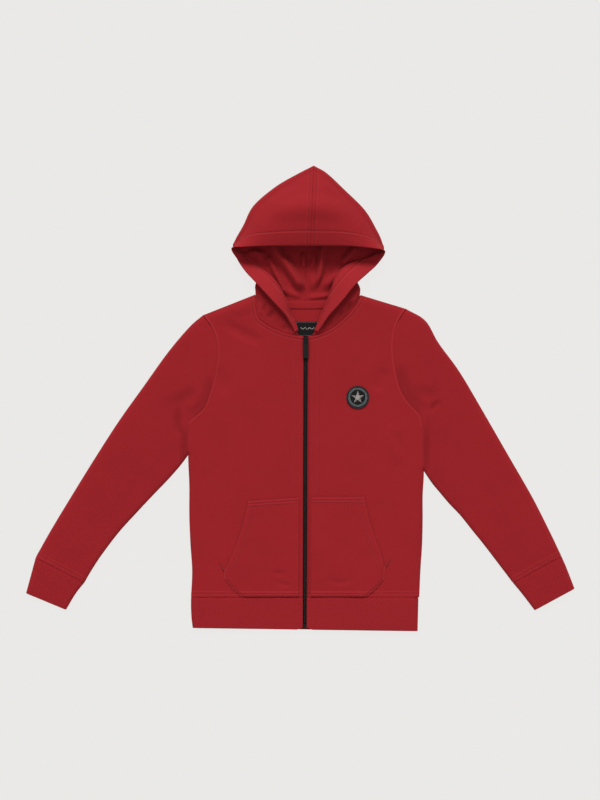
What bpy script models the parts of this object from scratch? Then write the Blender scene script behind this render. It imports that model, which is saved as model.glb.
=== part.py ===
"""A child's zipped hoodie with a hood and a split pocket, laid flat on its back with the hood open.

Metres, +Z up.  The origin is on the surface that the hoodie lies on, under the middle of its outline.
+X is to the right of someone who looks down at the front, and +Y runs from the hem to the hood.  Left and
right in the names are the wearer's, so the left pieces are at +X.  The tables are in millimetres."""

import math
from collections import namedtuple

import bmesh
import bpy
import numpy as np
from mathutils import Matrix

MM = 0.001

# Cloth
WALL = 2.2  # brushed sweatshirt cloth
RIB_WALL = 2.6  # the rib of the cuffs and the hem, which is doubled
SEAM = 0.3  # between neighbouring pieces
NECK_SEAM = 0.6  # where the collar leans over the seam
AIR = 3.2  # between the two layers of the body and of a sleeve
FLOOR_MID = WALL / 2  # the middle of a wall that lies on the floor
BODY_TOP = 2 * WALL + AIR  # the highest point of two layers
FRONT_MID = BODY_TOP - WALL / 2
FRONT_EDGE_MID = WALL + SEAM + WALL / 2  # where a front comes down onto the back
EDGE_ROUND = 12.0  # how far in from the outline a front or a sleeve comes up to its full height
FOLD_SHARE = 0.08  # the most that this is of a sleeve's or cuff's width
EDGE_HUG = 3  # how soon a panel's rows forget the bends of its side edges
ARMHOLE_EASE = 8  # how soon a sleeve's sections forget the bends of the armhole

# Zip
ZIP_X_TOP = 9.8
ZIP_X_BOTTOM = 8.2
ZIP_TOP = 108.5
ZIP_GAP = 6.8  # between the two fronts
CHAIN_WIDTH = 6.0
CHAIN_WALL = 2.4
CHAIN_MID = 5.6
CHAIN_TOP = 106.0
CHAIN_BOTTOM = -394.0
TAPE_WALL = 0.7
TAPE_MID = 3.6
TAPE_WIDTH = 13.0
TAPE_SPLIT = 0.4
TAPE_TOP = 107.5
TAPE_BOTTOM = -400.0
ZIP_BOX_LENGTH = 8.0
ZIP_BOX_WALL = 3.0
SLIDER_Y = 102.0
SLIDER_LENGTH = 12.0
SLIDER_WIDTH = 10.0
SLIDER_FOOT = 7.0
SLIDER_BASE = BODY_TOP + SEAM
SLIDER_PLATE = 1.4
BRIDGE_LENGTH = 9.0
BRIDGE_WIDTH = 2.2
BRIDGE_HEIGHT = 3.4
BRIDGE_POST = 1.1
BRIDGE_BAR = 1.0
PULL_AXIS_Y = 104.2
PULL_BAR = 1.6  # thickness of the pull, and of the bar at its top
PULL_AXIS_Z = SLIDER_BASE + SLIDER_PLATE + 1.2
PULL_LENGTH = 33.5
PULL_WIDTH = 9.6
PULL_CORNER = 1.6
PULL_HOLE_WIDTH = 3.6
PULL_HOLE_LENGTH = 6.6

# Hem
HEM_SEAM_Y = -348.0
HEM_Y_RIGHT = -402.0
HEM_Y_LEFT = -407.5
HEM_NOTCH_WIDTH = 10.0  # the hem's corners at the zip are cut back over this width
HEM_NOTCH = 4.0

# Trimmings
BADGE_X = 101.0
BADGE_Y = 2.0
BADGE_RADIUS = 20.0
BADGE_WALL = 1.2
LABEL_X = 13.0
LABEL_Y = 121.8
LABEL_WIDTH = 42.0
LABEL_HEIGHT = 25.0
LABEL_WALL = 0.8
LABEL_CORNER = 0.8
NECK_TAPE_DROP = 1.5
NECK_TAPE_WIDTH = 13.0
NECK_TAPE_WALL = 0.9

OUTWARD = {"left": 1, "right": -1}  # which way along X each side lies

Point = namedtuple("Point", "x y")
SleeveRow = namedtuple("SleeveRow", "upper_x upper_y lower_x lower_y")
HoodRow = namedtuple(
    "HoodRow",
    "edge_x edge_y edge_z roll_x roll_y roll_z roll_half turn_x turn_y turn_z seam_x seam_y seam_z",
)
PocketRow = namedtuple("PocketRow", "outer_x outer_y inner_y")
HemRow = namedtuple("HemRow", "share right_x left_x")
Fold = namedtuple("Fold", "x y end_x end_y half_width rise")
HoodSpans = namedtuple("HoodSpans", "face roll under back")

# Side seam from the hem up to the underarm, then the armhole up to the shoulder point.
UNDERARM = 7  # which point of a body edge is the underarm
SLEEVE_FOOT = 5  # the sleeve's lower edge meets the side seam here
BODY_EDGE = {
    "right": (
        Point(-191, HEM_SEAM_Y), Point(-189, -302), Point(-192, -255), Point(-194, -205),
        Point(-194, -153), Point(-196, -102), Point(-196, -72), Point(-195, -43),
        Point(-186, -34), Point(-168, -18), Point(-160, 1), Point(-153, 24),
        Point(-147, 50), Point(-144, 80), Point(-147, 106), Point(-156, 127), Point(-170, 146),
    ),
    "left": (
        Point(209, HEM_SEAM_Y), Point(211, -302), Point(214, -255), Point(215, -212),
        Point(215, -170), Point(217, -130), Point(215, -90), Point(214, -46),
        Point(210, -31), Point(194, -13), Point(181, 4), Point(173, 22),
        Point(167, 48), Point(163, 80), Point(164, 109), Point(172, 136), Point(186, 157),
    ),
}
# Neck seam, from the shoulder round the front to the top of the zip, and from shoulder to shoulder behind.
FRONT_NECK = {
    "right": (
        Point(-79.5, 181.8), Point(-78.2, 169), Point(-77, 155), Point(-73, 141.5), Point(-54, 127),
        Point(-29, 116), Point(0, 109.5), Point(ZIP_X_TOP - ZIP_GAP / 2, ZIP_TOP),
    ),
    "left": (
        Point(107, 181), Point(104, 174), Point(94, 158), Point(80, 143), Point(60, 126),
        Point(42, 116), Point(19, 109.5), Point(ZIP_X_TOP + ZIP_GAP / 2, ZIP_TOP),
    ),
}
BACK_NECK = (
    Point(-79.5, 181.8), Point(-66, 175), Point(-47, 173), Point(-21, 172), Point(9.5, 171.5),
    Point(42, 172), Point(72, 173), Point(94, 175), Point(107, 181),
)
# Upper and lower edge of each sleeve, a row for each section from just past the armhole to the cuff seam.
SLEEVE = {
    "right": (
        SleeveRow(-194, 125, -210, -118), SleeveRow(-232, 80, -232, -143), SleeveRow(-275, 20, -259, -171),
        SleeveRow(-317, -39, -287, -201), SleeveRow(-359, -104, -317, -234),
        SleeveRow(-401, -172, -346, -272), SleeveRow(-436, -230, -364, -299),
        SleeveRow(-463, -278, -378, -323),
    ),
    "left": (
        SleeveRow(220, 136, 231, -148), SleeveRow(243, 97, 245, -165), SleeveRow(280, 46, 262, -185),
        SleeveRow(322, -25, 281, -205), SleeveRow(364, -98, 301, -230), SleeveRow(406, -171, 322, -256),
        SleeveRow(436, -230, 348, -290), SleeveRow(458, -276, 373, -323),
    ),
}
# How far across a sleeve its lengthwise rows run, the closer ones from the underarm.
SLEEVE_SHARES = (0, 0.09, 0.18, 0.28, 0.38, 0.47, 0.55, 0.61, 0.66, 0.72, 0.85, 1)
CUFF = {
    "right": (
        SleeveRow(-463, -278, -378, -323), SleeveRow(-467, -293, -388, -335),
        SleeveRow(-480, -341, -410, -370),
    ),
    "left": (
        SleeveRow(458, -276, 373, -323), SleeveRow(465, -292, 384, -336), SleeveRow(481, -333, 411, -371),
    ),
}
# Each half of the hood, a row for each section from the top of the zip to the peak.  A section runs from
# the face edge to its roll, to the turn below that, to the neck seam or the back seam.  The first rows
# are the collar, whose face edge rolls outward.  From the tenth row on, the roll is the fold at the
# outline, where the crown turns back over the hood's own back.
HOOD = {
    "right": (
        HoodRow(-10.5, 117, 11.5, -4, 118.5, 9.5, 1.8, -3.5, 113, 7, 0, 109.5, 6.5),
        HoodRow(-13.5, 126, 13.5, -8.5, 132, 11, 2.2, -17, 123, 7.5, -29, 116, 6.5),
        HoodRow(-24, 145, 17, -17, 149, 14, 2.8, -30, 139, 9.5, -54, 127, 6.5),
        HoodRow(-38, 160, 21, -22, 165, 17.5, 3.2, -45, 157, 12, -73, 141.5, 6.5),
        HoodRow(-52, 175, 23, -30, 184, 18.5, 3.2, -61, 174, 12.5, -76.6, 155, 6),
        HoodRow(-68, 192, 22, -39.5, 201, 17.5, 3.2, -76, 191, 11, -77.5, 169, 5.2),
        HoodRow(-82, 207, 18.5, -51, 214, 15, 3, -77, 202, 10, -66, 175, 3.7),
        HoodRow(-97, 224, 10, -68, 228, 8.5, 2.2, -67, 214, 6, -47, 173, 1.1),
        HoodRow(-110, 244, 6, -93, 242, 6, 1.9, -80, 232, 4, -21, 172, 1.1),
        HoodRow(-119, 261, 29, -115, 262.5, 16, 3, -101, 254, 4.5, 9.5, 171.5, 1.1),
        HoodRow(-97, 263.5, 33.5, -113, 277, 9, 5.5, -93, 260, 1.1, 9.5, 200, 1.1),
        HoodRow(-70, 264.5, 34, -98.5, 302, 8.6, 7.5, -73, 281, 1.1, 10.5, 232, 1.1),
        HoodRow(-42, 265, 34, -80.5, 336.5, 9.6, 8.5, -49, 311, 1.1, 12.5, 267, 1.1),
        HoodRow(-14, 265, 34.5, -41.5, 370, 9.6, 8.5, -21, 344, 1.1, 16, 305, 1.1),
        HoodRow(4, 265, 35, 0, 394, 9, 7.9, 6, 373, 1.1, 19.5, 347, 1.1),
        HoodRow(18, 265, 35, 24, 406, 8.1, 7, 24, 392, 1.1, 24, 381, 1.1),
    ),
    "left": (
        HoodRow(32, 117.5, 11.5, 26, 118.5, 9.5, 1.8, 23.5, 113, 7, 19, 109.5, 6.5),
        HoodRow(37, 125, 13.5, 31.5, 131, 11, 2.2, 38, 123, 7.5, 42, 116, 6.5),
        HoodRow(49.5, 144, 17, 38, 149, 14, 2.8, 52, 137, 9, 60, 126, 6.5),
        HoodRow(65, 161, 21, 48, 169, 17.5, 3.2, 69, 156, 11.5, 80, 143, 6.5),
        HoodRow(80, 178, 23, 55.5, 192, 18.5, 3.2, 88, 172, 12.5, 94, 158, 6),
        HoodRow(92, 193, 22, 61, 209, 17.5, 3.2, 104, 189, 11, 103.3, 174, 5.2),
        HoodRow(104.5, 206, 18.5, 72, 225, 15, 3, 101, 202, 10, 94, 175, 3.7),
        HoodRow(119, 219, 12, 88, 237, 10, 2.2, 89, 217, 7, 72, 173, 1.1),
        HoodRow(136.5, 236, 7.5, 117, 246, 7, 1.9, 104, 236, 4, 42, 172, 1.1),
        HoodRow(148, 255.5, 29, 144, 257.5, 16, 3, 129, 249, 4.5, 9.5, 171.5, 1.1),
        HoodRow(127, 261, 33.5, 143, 274, 9, 5.5, 125, 256, 1.1, 9.5, 200, 1.1),
        HoodRow(102, 263.5, 34, 133, 295, 8.6, 7.5, 107, 276, 1.1, 10.5, 232, 1.1),
        HoodRow(75, 265, 34, 112.5, 329, 9.6, 8.5, 82, 305, 1.1, 12.5, 267, 1.1),
        HoodRow(49, 265, 34.5, 77.5, 364, 9.6, 8.5, 58, 337, 1.1, 16, 305, 1.1),
        HoodRow(32, 265, 35, 46, 393.5, 9, 7.9, 37, 369, 1.1, 19.5, 347, 1.1),
        HoodRow(18, 265, 35, 24, 406, 8.1, 7, 24, 392, 1.1, 24, 381, 1.1),
    ),
}
CROWN_ROW = 10  # from this section on the hood turns over at the outline
CROWN_SWELL = 0.13  # rise of a section between its face edge and its roll, for each mm over SWELL_FROM
SWELL_FROM = 25.0
HOOD_SPANS = HoodSpans(6, 4, 2, 8)  # points along each stretch of a hood section
FINER = 2  # sections of the hood, and rows of a front, for each row of its table
CROWN_START = (CROWN_ROW - 1) * FINER
CORNER_SHARE = 0.5  # the hem is pressed this thin at the corner where the crown's fold starts
CORNER_REACH = 4  # sections on each side of the corner that this takes in
# The largest folds: in the hood's back, seen through its opening, and the soft ones of the fronts.
HOOD_FOLDS = (
    Fold(-46, 266, -17, 221, 12, 7), Fold(-17, 221, 6, 186, 10, 5),
    Fold(41, 266, 35, 221, 11, 6), Fold(35, 221, 19, 186, 10, 5),
    Fold(94, 262, 65, 222, 13, 8), Fold(-58, 240, -34, 190, 11, 4),
)
FRONT_FOLDS = (
    Fold(-140, 134, -66, 94, 26, -2.2), Fold(158, -40, 178, -116, 22, 2.5),
    Fold(-150, 60, -128, 4, 20, -2), Fold(150, 56, 134, 8, 20, -2),
)
# Each pocket half from the hem seam up: its outer edge, and the height of the same row at the zip.
POCKET = {
    "right": (
        PocketRow(-101, -347, -347), PocketRow(-117.5, -335, -332), PocketRow(-132.5, -315, -311),
        PocketRow(-132, -298.5, -294), PocketRow(-125, -285, -278), PocketRow(-112, -254.5, -247),
        PocketRow(-101.7, -224, -217), PocketRow(-93.3, -189, -183), PocketRow(-91.4, -178.5, -172.5),
    ),
    "left": (
        PocketRow(116, -347, -347), PocketRow(133, -333, -333), PocketRow(147.5, -316, -316),
        PocketRow(148.8, -294, -294), PocketRow(142.5, -270, -270), PocketRow(131, -240, -240),
        PocketRow(121, -206, -206), PocketRow(115.5, -184, -184), PocketRow(113.4, -171.5, -172),
    ),
}
POCKET_FROM_ZIP = 10.5  # its inner edge, from the middle of the zip
# The outline of the hem at shares of its height.
HEM = (
    HemRow(0.0, -191, 207.5), HemRow(0.35, -191, 207), HemRow(0.7, -190, 206.5), HemRow(1.0, -188, 206),
)


def arc_lengths(line):
    """The length along a line up to each of its points."""
    steps = np.linalg.norm(np.diff(line, axis=0), axis=1)
    return np.concatenate([[0.0], np.cumsum(steps)])


def along(line, shares):
    """Points of a line at these shares of its length."""
    line = np.array(line, float)
    lengths = arc_lengths(line)
    wanted = np.array(shares) * lengths[-1]
    return np.column_stack([np.interp(wanted, lengths, axis) for axis in line.T])


def coons(bottom, top, left, right, across, up):
    """A grid of plan points between four edge lines that share their corners.

    It is ruled from bottom to top, at shares across and up, and hugs the side lines near them."""
    bottom, top = np.array(bottom, float)[None], np.array(top, float)[None]
    left, right = np.array(left, float)[:, None], np.array(right, float)[:, None]
    across, up = np.array(across)[None, :, None], np.array(up)[:, None, None]
    ruled = (1 - up) * bottom + up * top
    near_left = (1 - across) ** EDGE_HUG
    near_right = across**EDGE_HUG
    return ruled + near_left * (left - ruled[:, :1]) + near_right * (right - ruled[:, -1:])


def distance_to(points, line):
    """How far each plan point is from a line."""
    line = np.array(line, float)
    best = np.full(points.shape[:-1], np.inf)
    for start, end in zip(line[:-1], line[1:]):
        run = end - start
        share = np.clip(((points - start) @ run) / (run @ run), 0, 1)
        best = np.minimum(best, np.linalg.norm(points - start - share[..., None] * run, axis=-1))
    return best


def zip_x(y):
    """The middle of the zip at a height, since it lies a little slanted."""
    share = (ZIP_TOP - np.array(y, float)) / (ZIP_TOP - HEM_Y_RIGHT)
    return ZIP_X_TOP + (ZIP_X_BOTTOM - ZIP_X_TOP) * share


def shoulder_line(side):
    """The shoulder seam from the shoulder point to the neck."""
    return [BODY_EDGE[side][-1], FRONT_NECK[side][0]]


def fold_rise(points, folds):
    """How far folds lift the cloth at each plan point, or let it down."""
    rise = np.zeros(points.shape[:-1])
    for fold in folds:
        away = distance_to(points, [(fold.x, fold.y), (fold.end_x, fold.end_y)]) / fold.half_width
        lifted = fold.rise * (1 + np.cos(np.clip(away, 0, 1) * math.pi)) / 2
        rise = np.where(np.abs(lifted) > np.abs(rise), lifted, rise)
    return rise


def front_height(points, side):
    """The middle of a front's wall: full height inside, down onto the back along the side and shoulder."""
    near = np.minimum(
        distance_to(points, BODY_EDGE[side][: SLEEVE_FOOT + 1]), distance_to(points, shoulder_line(side))
    )
    rise = np.sin(np.clip(near / EDGE_ROUND, 0, 1) * math.pi / 2)
    return FRONT_EDGE_MID + (FRONT_MID - FRONT_EDGE_MID + fold_rise(points, FRONT_FOLDS)) * rise


def material(name, colour, roughness, metallic=0.0):
    """A Principled material."""
    made = bpy.data.materials.new(name)
    made.use_nodes = True
    shader = made.node_tree.nodes["Principled BSDF"]
    shader.inputs["Base Color"].default_value = (*colour, 1.0)
    shader.inputs["Roughness"].default_value = roughness
    shader.inputs["Metallic"].default_value = metallic
    made.diffuse_color = (*colour, 1.0)
    return made


def mesh_object(name, vertices, faces, finish, smooth=True):
    """A closed mesh of these faces, its normals turned out, its sizes given in millimetres."""
    mesh = bpy.data.meshes.new(name)
    made = bmesh.new()
    points = [made.verts.new(np.array(vertex, float) * MM) for vertex in vertices]
    for face in faces:
        made.faces.new([points[index] for index in face])
    bmesh.ops.recalc_face_normals(made, faces=made.faces)
    made.to_mesh(mesh)
    made.free()
    mesh.materials.append(finish)
    if smooth:
        mesh.shade_smooth()
        mesh.set_sharp_from_angle(angle=math.radians(40))
    placed = bpy.data.objects.new(name, mesh)
    bpy.context.scene.collection.objects.link(placed)
    return placed


def grid_normals(grid):
    """The direction across a grid's wall at each of its points."""
    normals = np.cross(np.gradient(grid, axis=1), np.gradient(grid, axis=0))
    return normals / np.linalg.norm(normals, axis=-1, keepdims=True)


def wall_between(name, over, under, finish):
    """A closed wall between two grids of points."""
    rows, columns = over.shape[:2]
    vertices = np.concatenate([over, under]).reshape(-1, 3)
    below = rows * columns
    faces = []
    for row in range(rows - 1):
        for column in range(columns - 1):
            first = row * columns + column
            quad = (first, first + 1, first + columns + 1, first + columns)
            faces.append(quad)
            faces.append(tuple(index + below for index in reversed(quad)))
    border = list(range(columns))
    border += [row * columns + columns - 1 for row in range(1, rows)]
    border += [(rows - 1) * columns + column for column in range(columns - 2, -1, -1)]
    border += [row * columns for row in range(rows - 2, 0, -1)]
    for here, there in zip(border, border[1:] + border[:1]):
        faces.append((here, there, there + below, here + below))
    return mesh_object(name, vertices, faces, finish)


def slab(name, grid, wall, finish, normals=None):
    """A closed wall whose middle is a grid of points, thickened upright unless its normals are given."""
    grid = np.array(grid, float)
    across = np.zeros_like(grid) + (0, 0, 1) if normals is None else normals
    return wall_between(name, grid + across * wall / 2, grid - across * wall / 2, finish)


def fold_profile(inset, soft):
    """A folded edge at an inset from its outer face: how far in from the outline, and how high."""
    low = BODY_TOP / 2
    profile = []
    for turn in np.radians((-90, -45, 0, 30, 60, 90)):
        reach = low if turn <= 0 else soft
        profile.append((reach - (reach - inset) * math.cos(turn), low + (low - inset) * math.sin(turn)))
    return profile


def flat_loop(line, inset):
    """A flattened tube's section over a plan line, at an inset from its outer face."""
    lengths = arc_lengths(line)
    total = lengths[-1]
    fold = fold_profile(inset, min(EDGE_ROUND, total * FOLD_SHARE))
    section = [(length, inset) for length in lengths[1:-1]]
    section += [(total - reach, height) for reach, height in fold]
    section += [(length, BODY_TOP - inset) for length in lengths[-2:0:-1]]
    section += reversed(fold)
    plan = along(line, [across / total for across, _ in section])
    return np.array([(x, y, height) for (x, y), (_, height) in zip(plan, section)])


def flat_tube(name, lines, wall, finish):
    """A tube of cloth pressed flat, open at both ends, over a plan line for each section."""
    outer = [flat_loop(line, 0.0) for line in lines]
    inner = [flat_loop(line, wall) for line in lines]
    count = len(outer[0])
    vertices = np.concatenate(outer + inner)
    inside = len(lines) * count
    faces = []
    for row in range(len(lines) - 1):
        for point in range(count):
            following = (point + 1) % count
            quad = (
                row * count + point, row * count + following,
                (row + 1) * count + following, (row + 1) * count + point,
            )
            faces.append(quad)
            faces.append(tuple(index + inside for index in reversed(quad)))
    for row in (0, len(lines) - 1):
        for point in range(count):
            here = row * count + point
            there = row * count + (point + 1) % count
            faces.append((here, there, there + inside, here + inside))
    return mesh_object(name, vertices, faces, finish)


def moved_out(line, gap, way):
    """A plan line moved sideways by a gap, to the side that a direction points to."""
    line = np.array(line, float)
    runs = np.gradient(line, axis=0)
    sideways = np.column_stack([runs[:, 1], -runs[:, 0]]) / np.linalg.norm(runs, axis=1)[:, None]
    outward = np.sign(sideways @ np.array(way, float))[:, None]
    return line + sideways * outward * gap


def finer(rows, steps):
    """A table's rows as numbers, with evenly spaced ones put between them."""
    rows = np.array(rows, float)
    wanted = np.linspace(0, len(rows) - 1, (len(rows) - 1) * steps + 1)
    return np.column_stack([np.interp(wanted, range(len(rows)), column) for column in rows.T])


def shares_between(values):
    """How far along a run each value lies, from nought to one."""
    values = np.array(values, float)
    return (values - values[0]) / (values[-1] - values[0])


def front_grid(side):
    """The plan of a front: hem seam, shoulder and neck, side seam and armhole, zip."""
    shoulder = along(shoulder_line(side), (0, 0.05, 0.13, 0.35, 0.65, 1))
    top = np.concatenate([shoulder, np.array(FRONT_NECK[side][1:], float)])
    outer = finer(BODY_EDGE[side], FINER)
    zip_edge_x = ZIP_GAP / 2 * OUTWARD[side]
    up = shares_between(outer[:, 1])
    across = shares_between(top[:, 0])
    heights = HEM_SEAM_Y + (ZIP_TOP - HEM_SEAM_Y) * up
    inner = np.column_stack([zip_x(heights) + zip_edge_x, heights])
    inner[-1] = top[-1]
    return coons(along([outer[0], inner[0]], across), top, outer, inner, across, up)


def build_front(side, finish):
    plan = front_grid(side)
    height = front_height(plan, side)
    return slab(f"front_{side}", np.dstack([plan, height]), WALL, finish)


def build_back(finish):
    right = along(shoulder_line("right"), (0, 0.35, 0.7))
    left = along(shoulder_line("left")[::-1], (0.3, 0.65, 1))
    top = np.concatenate([right, np.array(BACK_NECK, float), left])
    across = shares_between(top[:, 0])
    right_edge, left_edge = np.array(BODY_EDGE["right"], float), np.array(BODY_EDGE["left"], float)
    up = shares_between((right_edge + left_edge)[:, 1])
    plan = coons(along([right_edge[0], left_edge[0]], across), top, right_edge, left_edge, across, up)
    return slab("back", np.dstack([plan, np.full(plan.shape[:2], FLOOR_MID)]), WALL, finish)


def build_sleeve(side, finish):
    """A flattened tube from the armhole, and the bit of side seam that it lies against, to the cuff."""
    armhole = np.array(BODY_EDGE[side][SLEEVE_FOOT:][::-1], float)
    at_armhole = arc_lengths(armhole) / arc_lengths(armhole)[-1]
    bend = armhole - along([armhole[0], armhole[-1]], at_armhole)
    lines = [moved_out(armhole, SEAM + 0.1, (OUTWARD[side], 0))]
    for number, row in enumerate(SLEEVE[side], start=1):
        down = number / len(SLEEVE[side])
        chord = along([(row.upper_x, row.upper_y), (row.lower_x, row.lower_y)], SLEEVE_SHARES)
        lines.append(chord + bend * (1 - down) ** ARMHOLE_EASE)
    return flat_tube(f"sleeve_{side}", lines, WALL, finish)


def build_cuff(side, finish):
    shares = np.linspace(0, 1, 9)
    lines = []
    for number, row in enumerate(CUFF[side]):
        line = along([(row.upper_x, row.upper_y), (row.lower_x, row.lower_y)], shares)
        if number == 0:
            line = moved_out(line, SEAM, (OUTWARD[side], -1))
        lines.append(line)
    return flat_tube(f"cuff_{side}", lines, RIB_WALL, finish)


def hem_height(x, share, in_front):
    """How far down the hem lies at a point of its width; in front its corners are cut back at the zip."""
    from_right = (x - HEM[-1].right_x) / (HEM[-1].left_x - HEM[-1].right_x)
    bottom = HEM_Y_RIGHT + (HEM_Y_LEFT - HEM_Y_RIGHT) * from_right
    if in_front:
        from_zip = abs(x - ZIP_X_BOTTOM) - ZIP_GAP / 2
        bottom += HEM_NOTCH * max(0, 1 - from_zip / HEM_NOTCH_WIDTH)
    return HEM_SEAM_Y - SEAM + (bottom - HEM_SEAM_Y + SEAM) * share


def hem_section(row, inset):
    """The hem at one height: the right front, its fold, the back, the left fold, the left front."""
    middle = float(zip_x(HEM_SEAM_Y + (HEM_Y_RIGHT - HEM_SEAM_Y) * row.share))
    sides = {}
    for side, outline in (("right", row.right_x), ("left", row.left_x)):
        way = OUTWARD[side]
        edge = middle + way * ZIP_GAP / 2
        reach = outline - way * EDGE_ROUND - edge
        front = [edge, edge + way * HEM_NOTCH_WIDTH / 2, edge + way * HEM_NOTCH_WIDTH]
        front += [edge + reach * share for share in (0.25, 0.5, 0.75)]
        fold = [(outline - way * inward, height, False) for inward, height in fold_profile(inset, EDGE_ROUND)]
        sides[side] = [(x, BODY_TOP - inset, True) for x in front] + fold[::-1]
    flat = np.linspace(row.right_x, row.left_x, 8)[1:-1]
    section = sides["right"] + [(x, inset, False) for x in flat] + sides["left"][::-1]
    return [(x, hem_height(x, row.share, in_front), height) for x, height, in_front in section]


def build_hem(finish):
    """The rib strip round the body, from one side of the zip round the back to the other."""
    outer = np.array([hem_section(row, 0.0) for row in HEM])
    inner = np.array([hem_section(row, RIB_WALL) for row in HEM])
    return wall_between("hem_band", outer, inner, finish)


def build_pocket(side, finish):
    """Half of the pocket, on its front: the front's own points moved out by the two walls."""
    rows = []
    for row in POCKET[side]:
        inner = (float(zip_x(row.inner_y)) + OUTWARD[side] * POCKET_FROM_ZIP, row.inner_y)
        rows.append(along([inner, (row.outer_x, row.outer_y)], np.linspace(0, 1, 7)))
    plan = np.array(rows)
    height = front_height(plan, side) + WALL + SEAM
    return slab(f"pocket_{side}", np.dstack([plan, height]), WALL, finish)


def build_neck_tape(finish):
    """Tape over the back neck seam, on the inside of the back."""
    seam = np.array(BACK_NECK[2:-2], float)
    rows = [seam - (0, drop) for drop in (NECK_TAPE_DROP, NECK_TAPE_DROP + NECK_TAPE_WIDTH)]
    plan = np.array(rows)
    height = np.full(plan.shape[:2], WALL + SEAM + NECK_TAPE_WALL / 2)
    return slab("neck_tape", np.dstack([plan, height]), NECK_TAPE_WALL, finish)


def rounded_outline(width, length, corner, steps=3):
    """The outline of a rectangle with round corners, about its own middle."""
    outline = []
    for quarter, (way_x, way_y) in enumerate(((1, 1), (-1, 1), (-1, -1), (1, -1))):
        centre_x = way_x * (width / 2 - corner)
        centre_y = way_y * (length / 2 - corner)
        for step in range(steps + 1):
            turn = math.pi / 2 * (quarter + step / steps)
            outline.append((centre_x + corner * math.cos(turn), centre_y + corner * math.sin(turn)))
    return outline


def plate(name, outline, centre, wall, finish):
    """A flat piece of this outline, its middle at a point."""
    count = len(outline)
    centre = np.array(centre, float)
    over = [centre + (x, y, wall / 2) for x, y in outline]
    under = [centre + (x, y, -wall / 2) for x, y in outline]
    faces = [tuple(range(count)), tuple(range(2 * count - 1, count - 1, -1))]
    for here in range(count):
        there = (here + 1) % count
        faces.append((here, there, there + count, here + count))
    return mesh_object(name, over + under, faces, finish)


def build_label(finish):
    outline = rounded_outline(LABEL_WIDTH, LABEL_HEIGHT, LABEL_CORNER)
    middle = (LABEL_X, LABEL_Y, WALL + SEAM + LABEL_WALL / 2)
    return plate("neck_label", outline, middle, LABEL_WALL, finish)


def build_badge(finish):
    turns = np.linspace(0, 2 * math.pi, 33)[:-1]
    outline = [(BADGE_RADIUS * math.cos(turn), BADGE_RADIUS * math.sin(turn)) for turn in turns]
    return plate("badge", outline, (BADGE_X, BADGE_Y, BODY_TOP + SEAM + BADGE_WALL / 2), BADGE_WALL, finish)


def zip_strip(name, near, far, top, bottom, middle, wall, finish):
    """A strip beside or over the middle of the zip, following its slant."""
    heights = np.linspace(bottom, top, 5)
    rows = [[(zip_x(y) + reach, y, middle) for reach in (near, far)] for y in heights]
    return slab(name, rows, wall, finish)


def build_zip(tape_finish, tooth_finish):
    for side in ("left", "right"):
        way = OUTWARD[side]
        reaches = (way * TAPE_SPLIT / 2, way * TAPE_WIDTH)
        zip_strip(f"zip_tape_{side}", *reaches, TAPE_TOP, TAPE_BOTTOM, TAPE_MID, TAPE_WALL, tape_finish)
    half = CHAIN_WIDTH / 2
    zip_strip("zip_chain", -half, half, CHAIN_TOP, CHAIN_BOTTOM, CHAIN_MID, CHAIN_WALL, tooth_finish)
    outline = rounded_outline(CHAIN_WIDTH, ZIP_BOX_LENGTH, 0.8)
    middle = (float(zip_x(CHAIN_BOTTOM)), CHAIN_BOTTOM - SEAM - ZIP_BOX_LENGTH / 2, CHAIN_MID)
    plate("zip_box", outline, middle, ZIP_BOX_WALL, tooth_finish)


def joined(whole, extra):
    """Two overlapping pieces made one."""
    union = whole.modifiers.new("union", "BOOLEAN")
    union.operation = "UNION"
    union.object = extra
    hide(extra)
    return whole


def hide(guide):
    guide.hide_render = True
    guide.display_type = "WIRE"


def build_slider(finish):
    """The slider's top plate, tapering to the hem, with the bridge that holds the pull."""
    outline = [
        (-SLIDER_WIDTH / 2, SLIDER_LENGTH / 2 - 2), (-SLIDER_WIDTH / 2 + 2, SLIDER_LENGTH / 2),
        (SLIDER_WIDTH / 2 - 2, SLIDER_LENGTH / 2), (SLIDER_WIDTH / 2, SLIDER_LENGTH / 2 - 2),
        (SLIDER_FOOT / 2, -SLIDER_LENGTH / 2), (-SLIDER_FOOT / 2, -SLIDER_LENGTH / 2),
    ]
    base = SLIDER_BASE + SLIDER_PLATE / 2
    body = plate("zip_slider", outline, (ZIP_X_TOP, SLIDER_Y, base), SLIDER_PLATE, finish)
    top = SLIDER_BASE + SLIDER_PLATE
    low, high = SLIDER_Y - BRIDGE_LENGTH / 2, SLIDER_Y + BRIDGE_LENGTH / 2
    arch = [
        (low, top - 0.5), (low, top + BRIDGE_HEIGHT - 0.8), (low + 0.8, top + BRIDGE_HEIGHT),
        (high - 0.8, top + BRIDGE_HEIGHT), (high, top + BRIDGE_HEIGHT - 0.8), (high, top - 0.5),
        (high - BRIDGE_POST, top - 0.5), (high - BRIDGE_POST, top + BRIDGE_HEIGHT - BRIDGE_BAR),
        (low + BRIDGE_POST, top + BRIDGE_HEIGHT - BRIDGE_BAR), (low + BRIDGE_POST, top - 0.5),
    ]
    half = BRIDGE_WIDTH / 2
    count = len(arch)
    vertices = [(ZIP_X_TOP + side, y, z) for side in (-half, half) for y, z in arch]
    faces = [tuple(range(count)), tuple(range(2 * count - 1, count - 1, -1))]
    faces += [
        (here, (here + 1) % count, (here + 1) % count + count, here + count) for here in range(count)
    ]
    bridge = mesh_object("slider_bridge", vertices, faces, finish)
    return joined(body, bridge)


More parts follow.
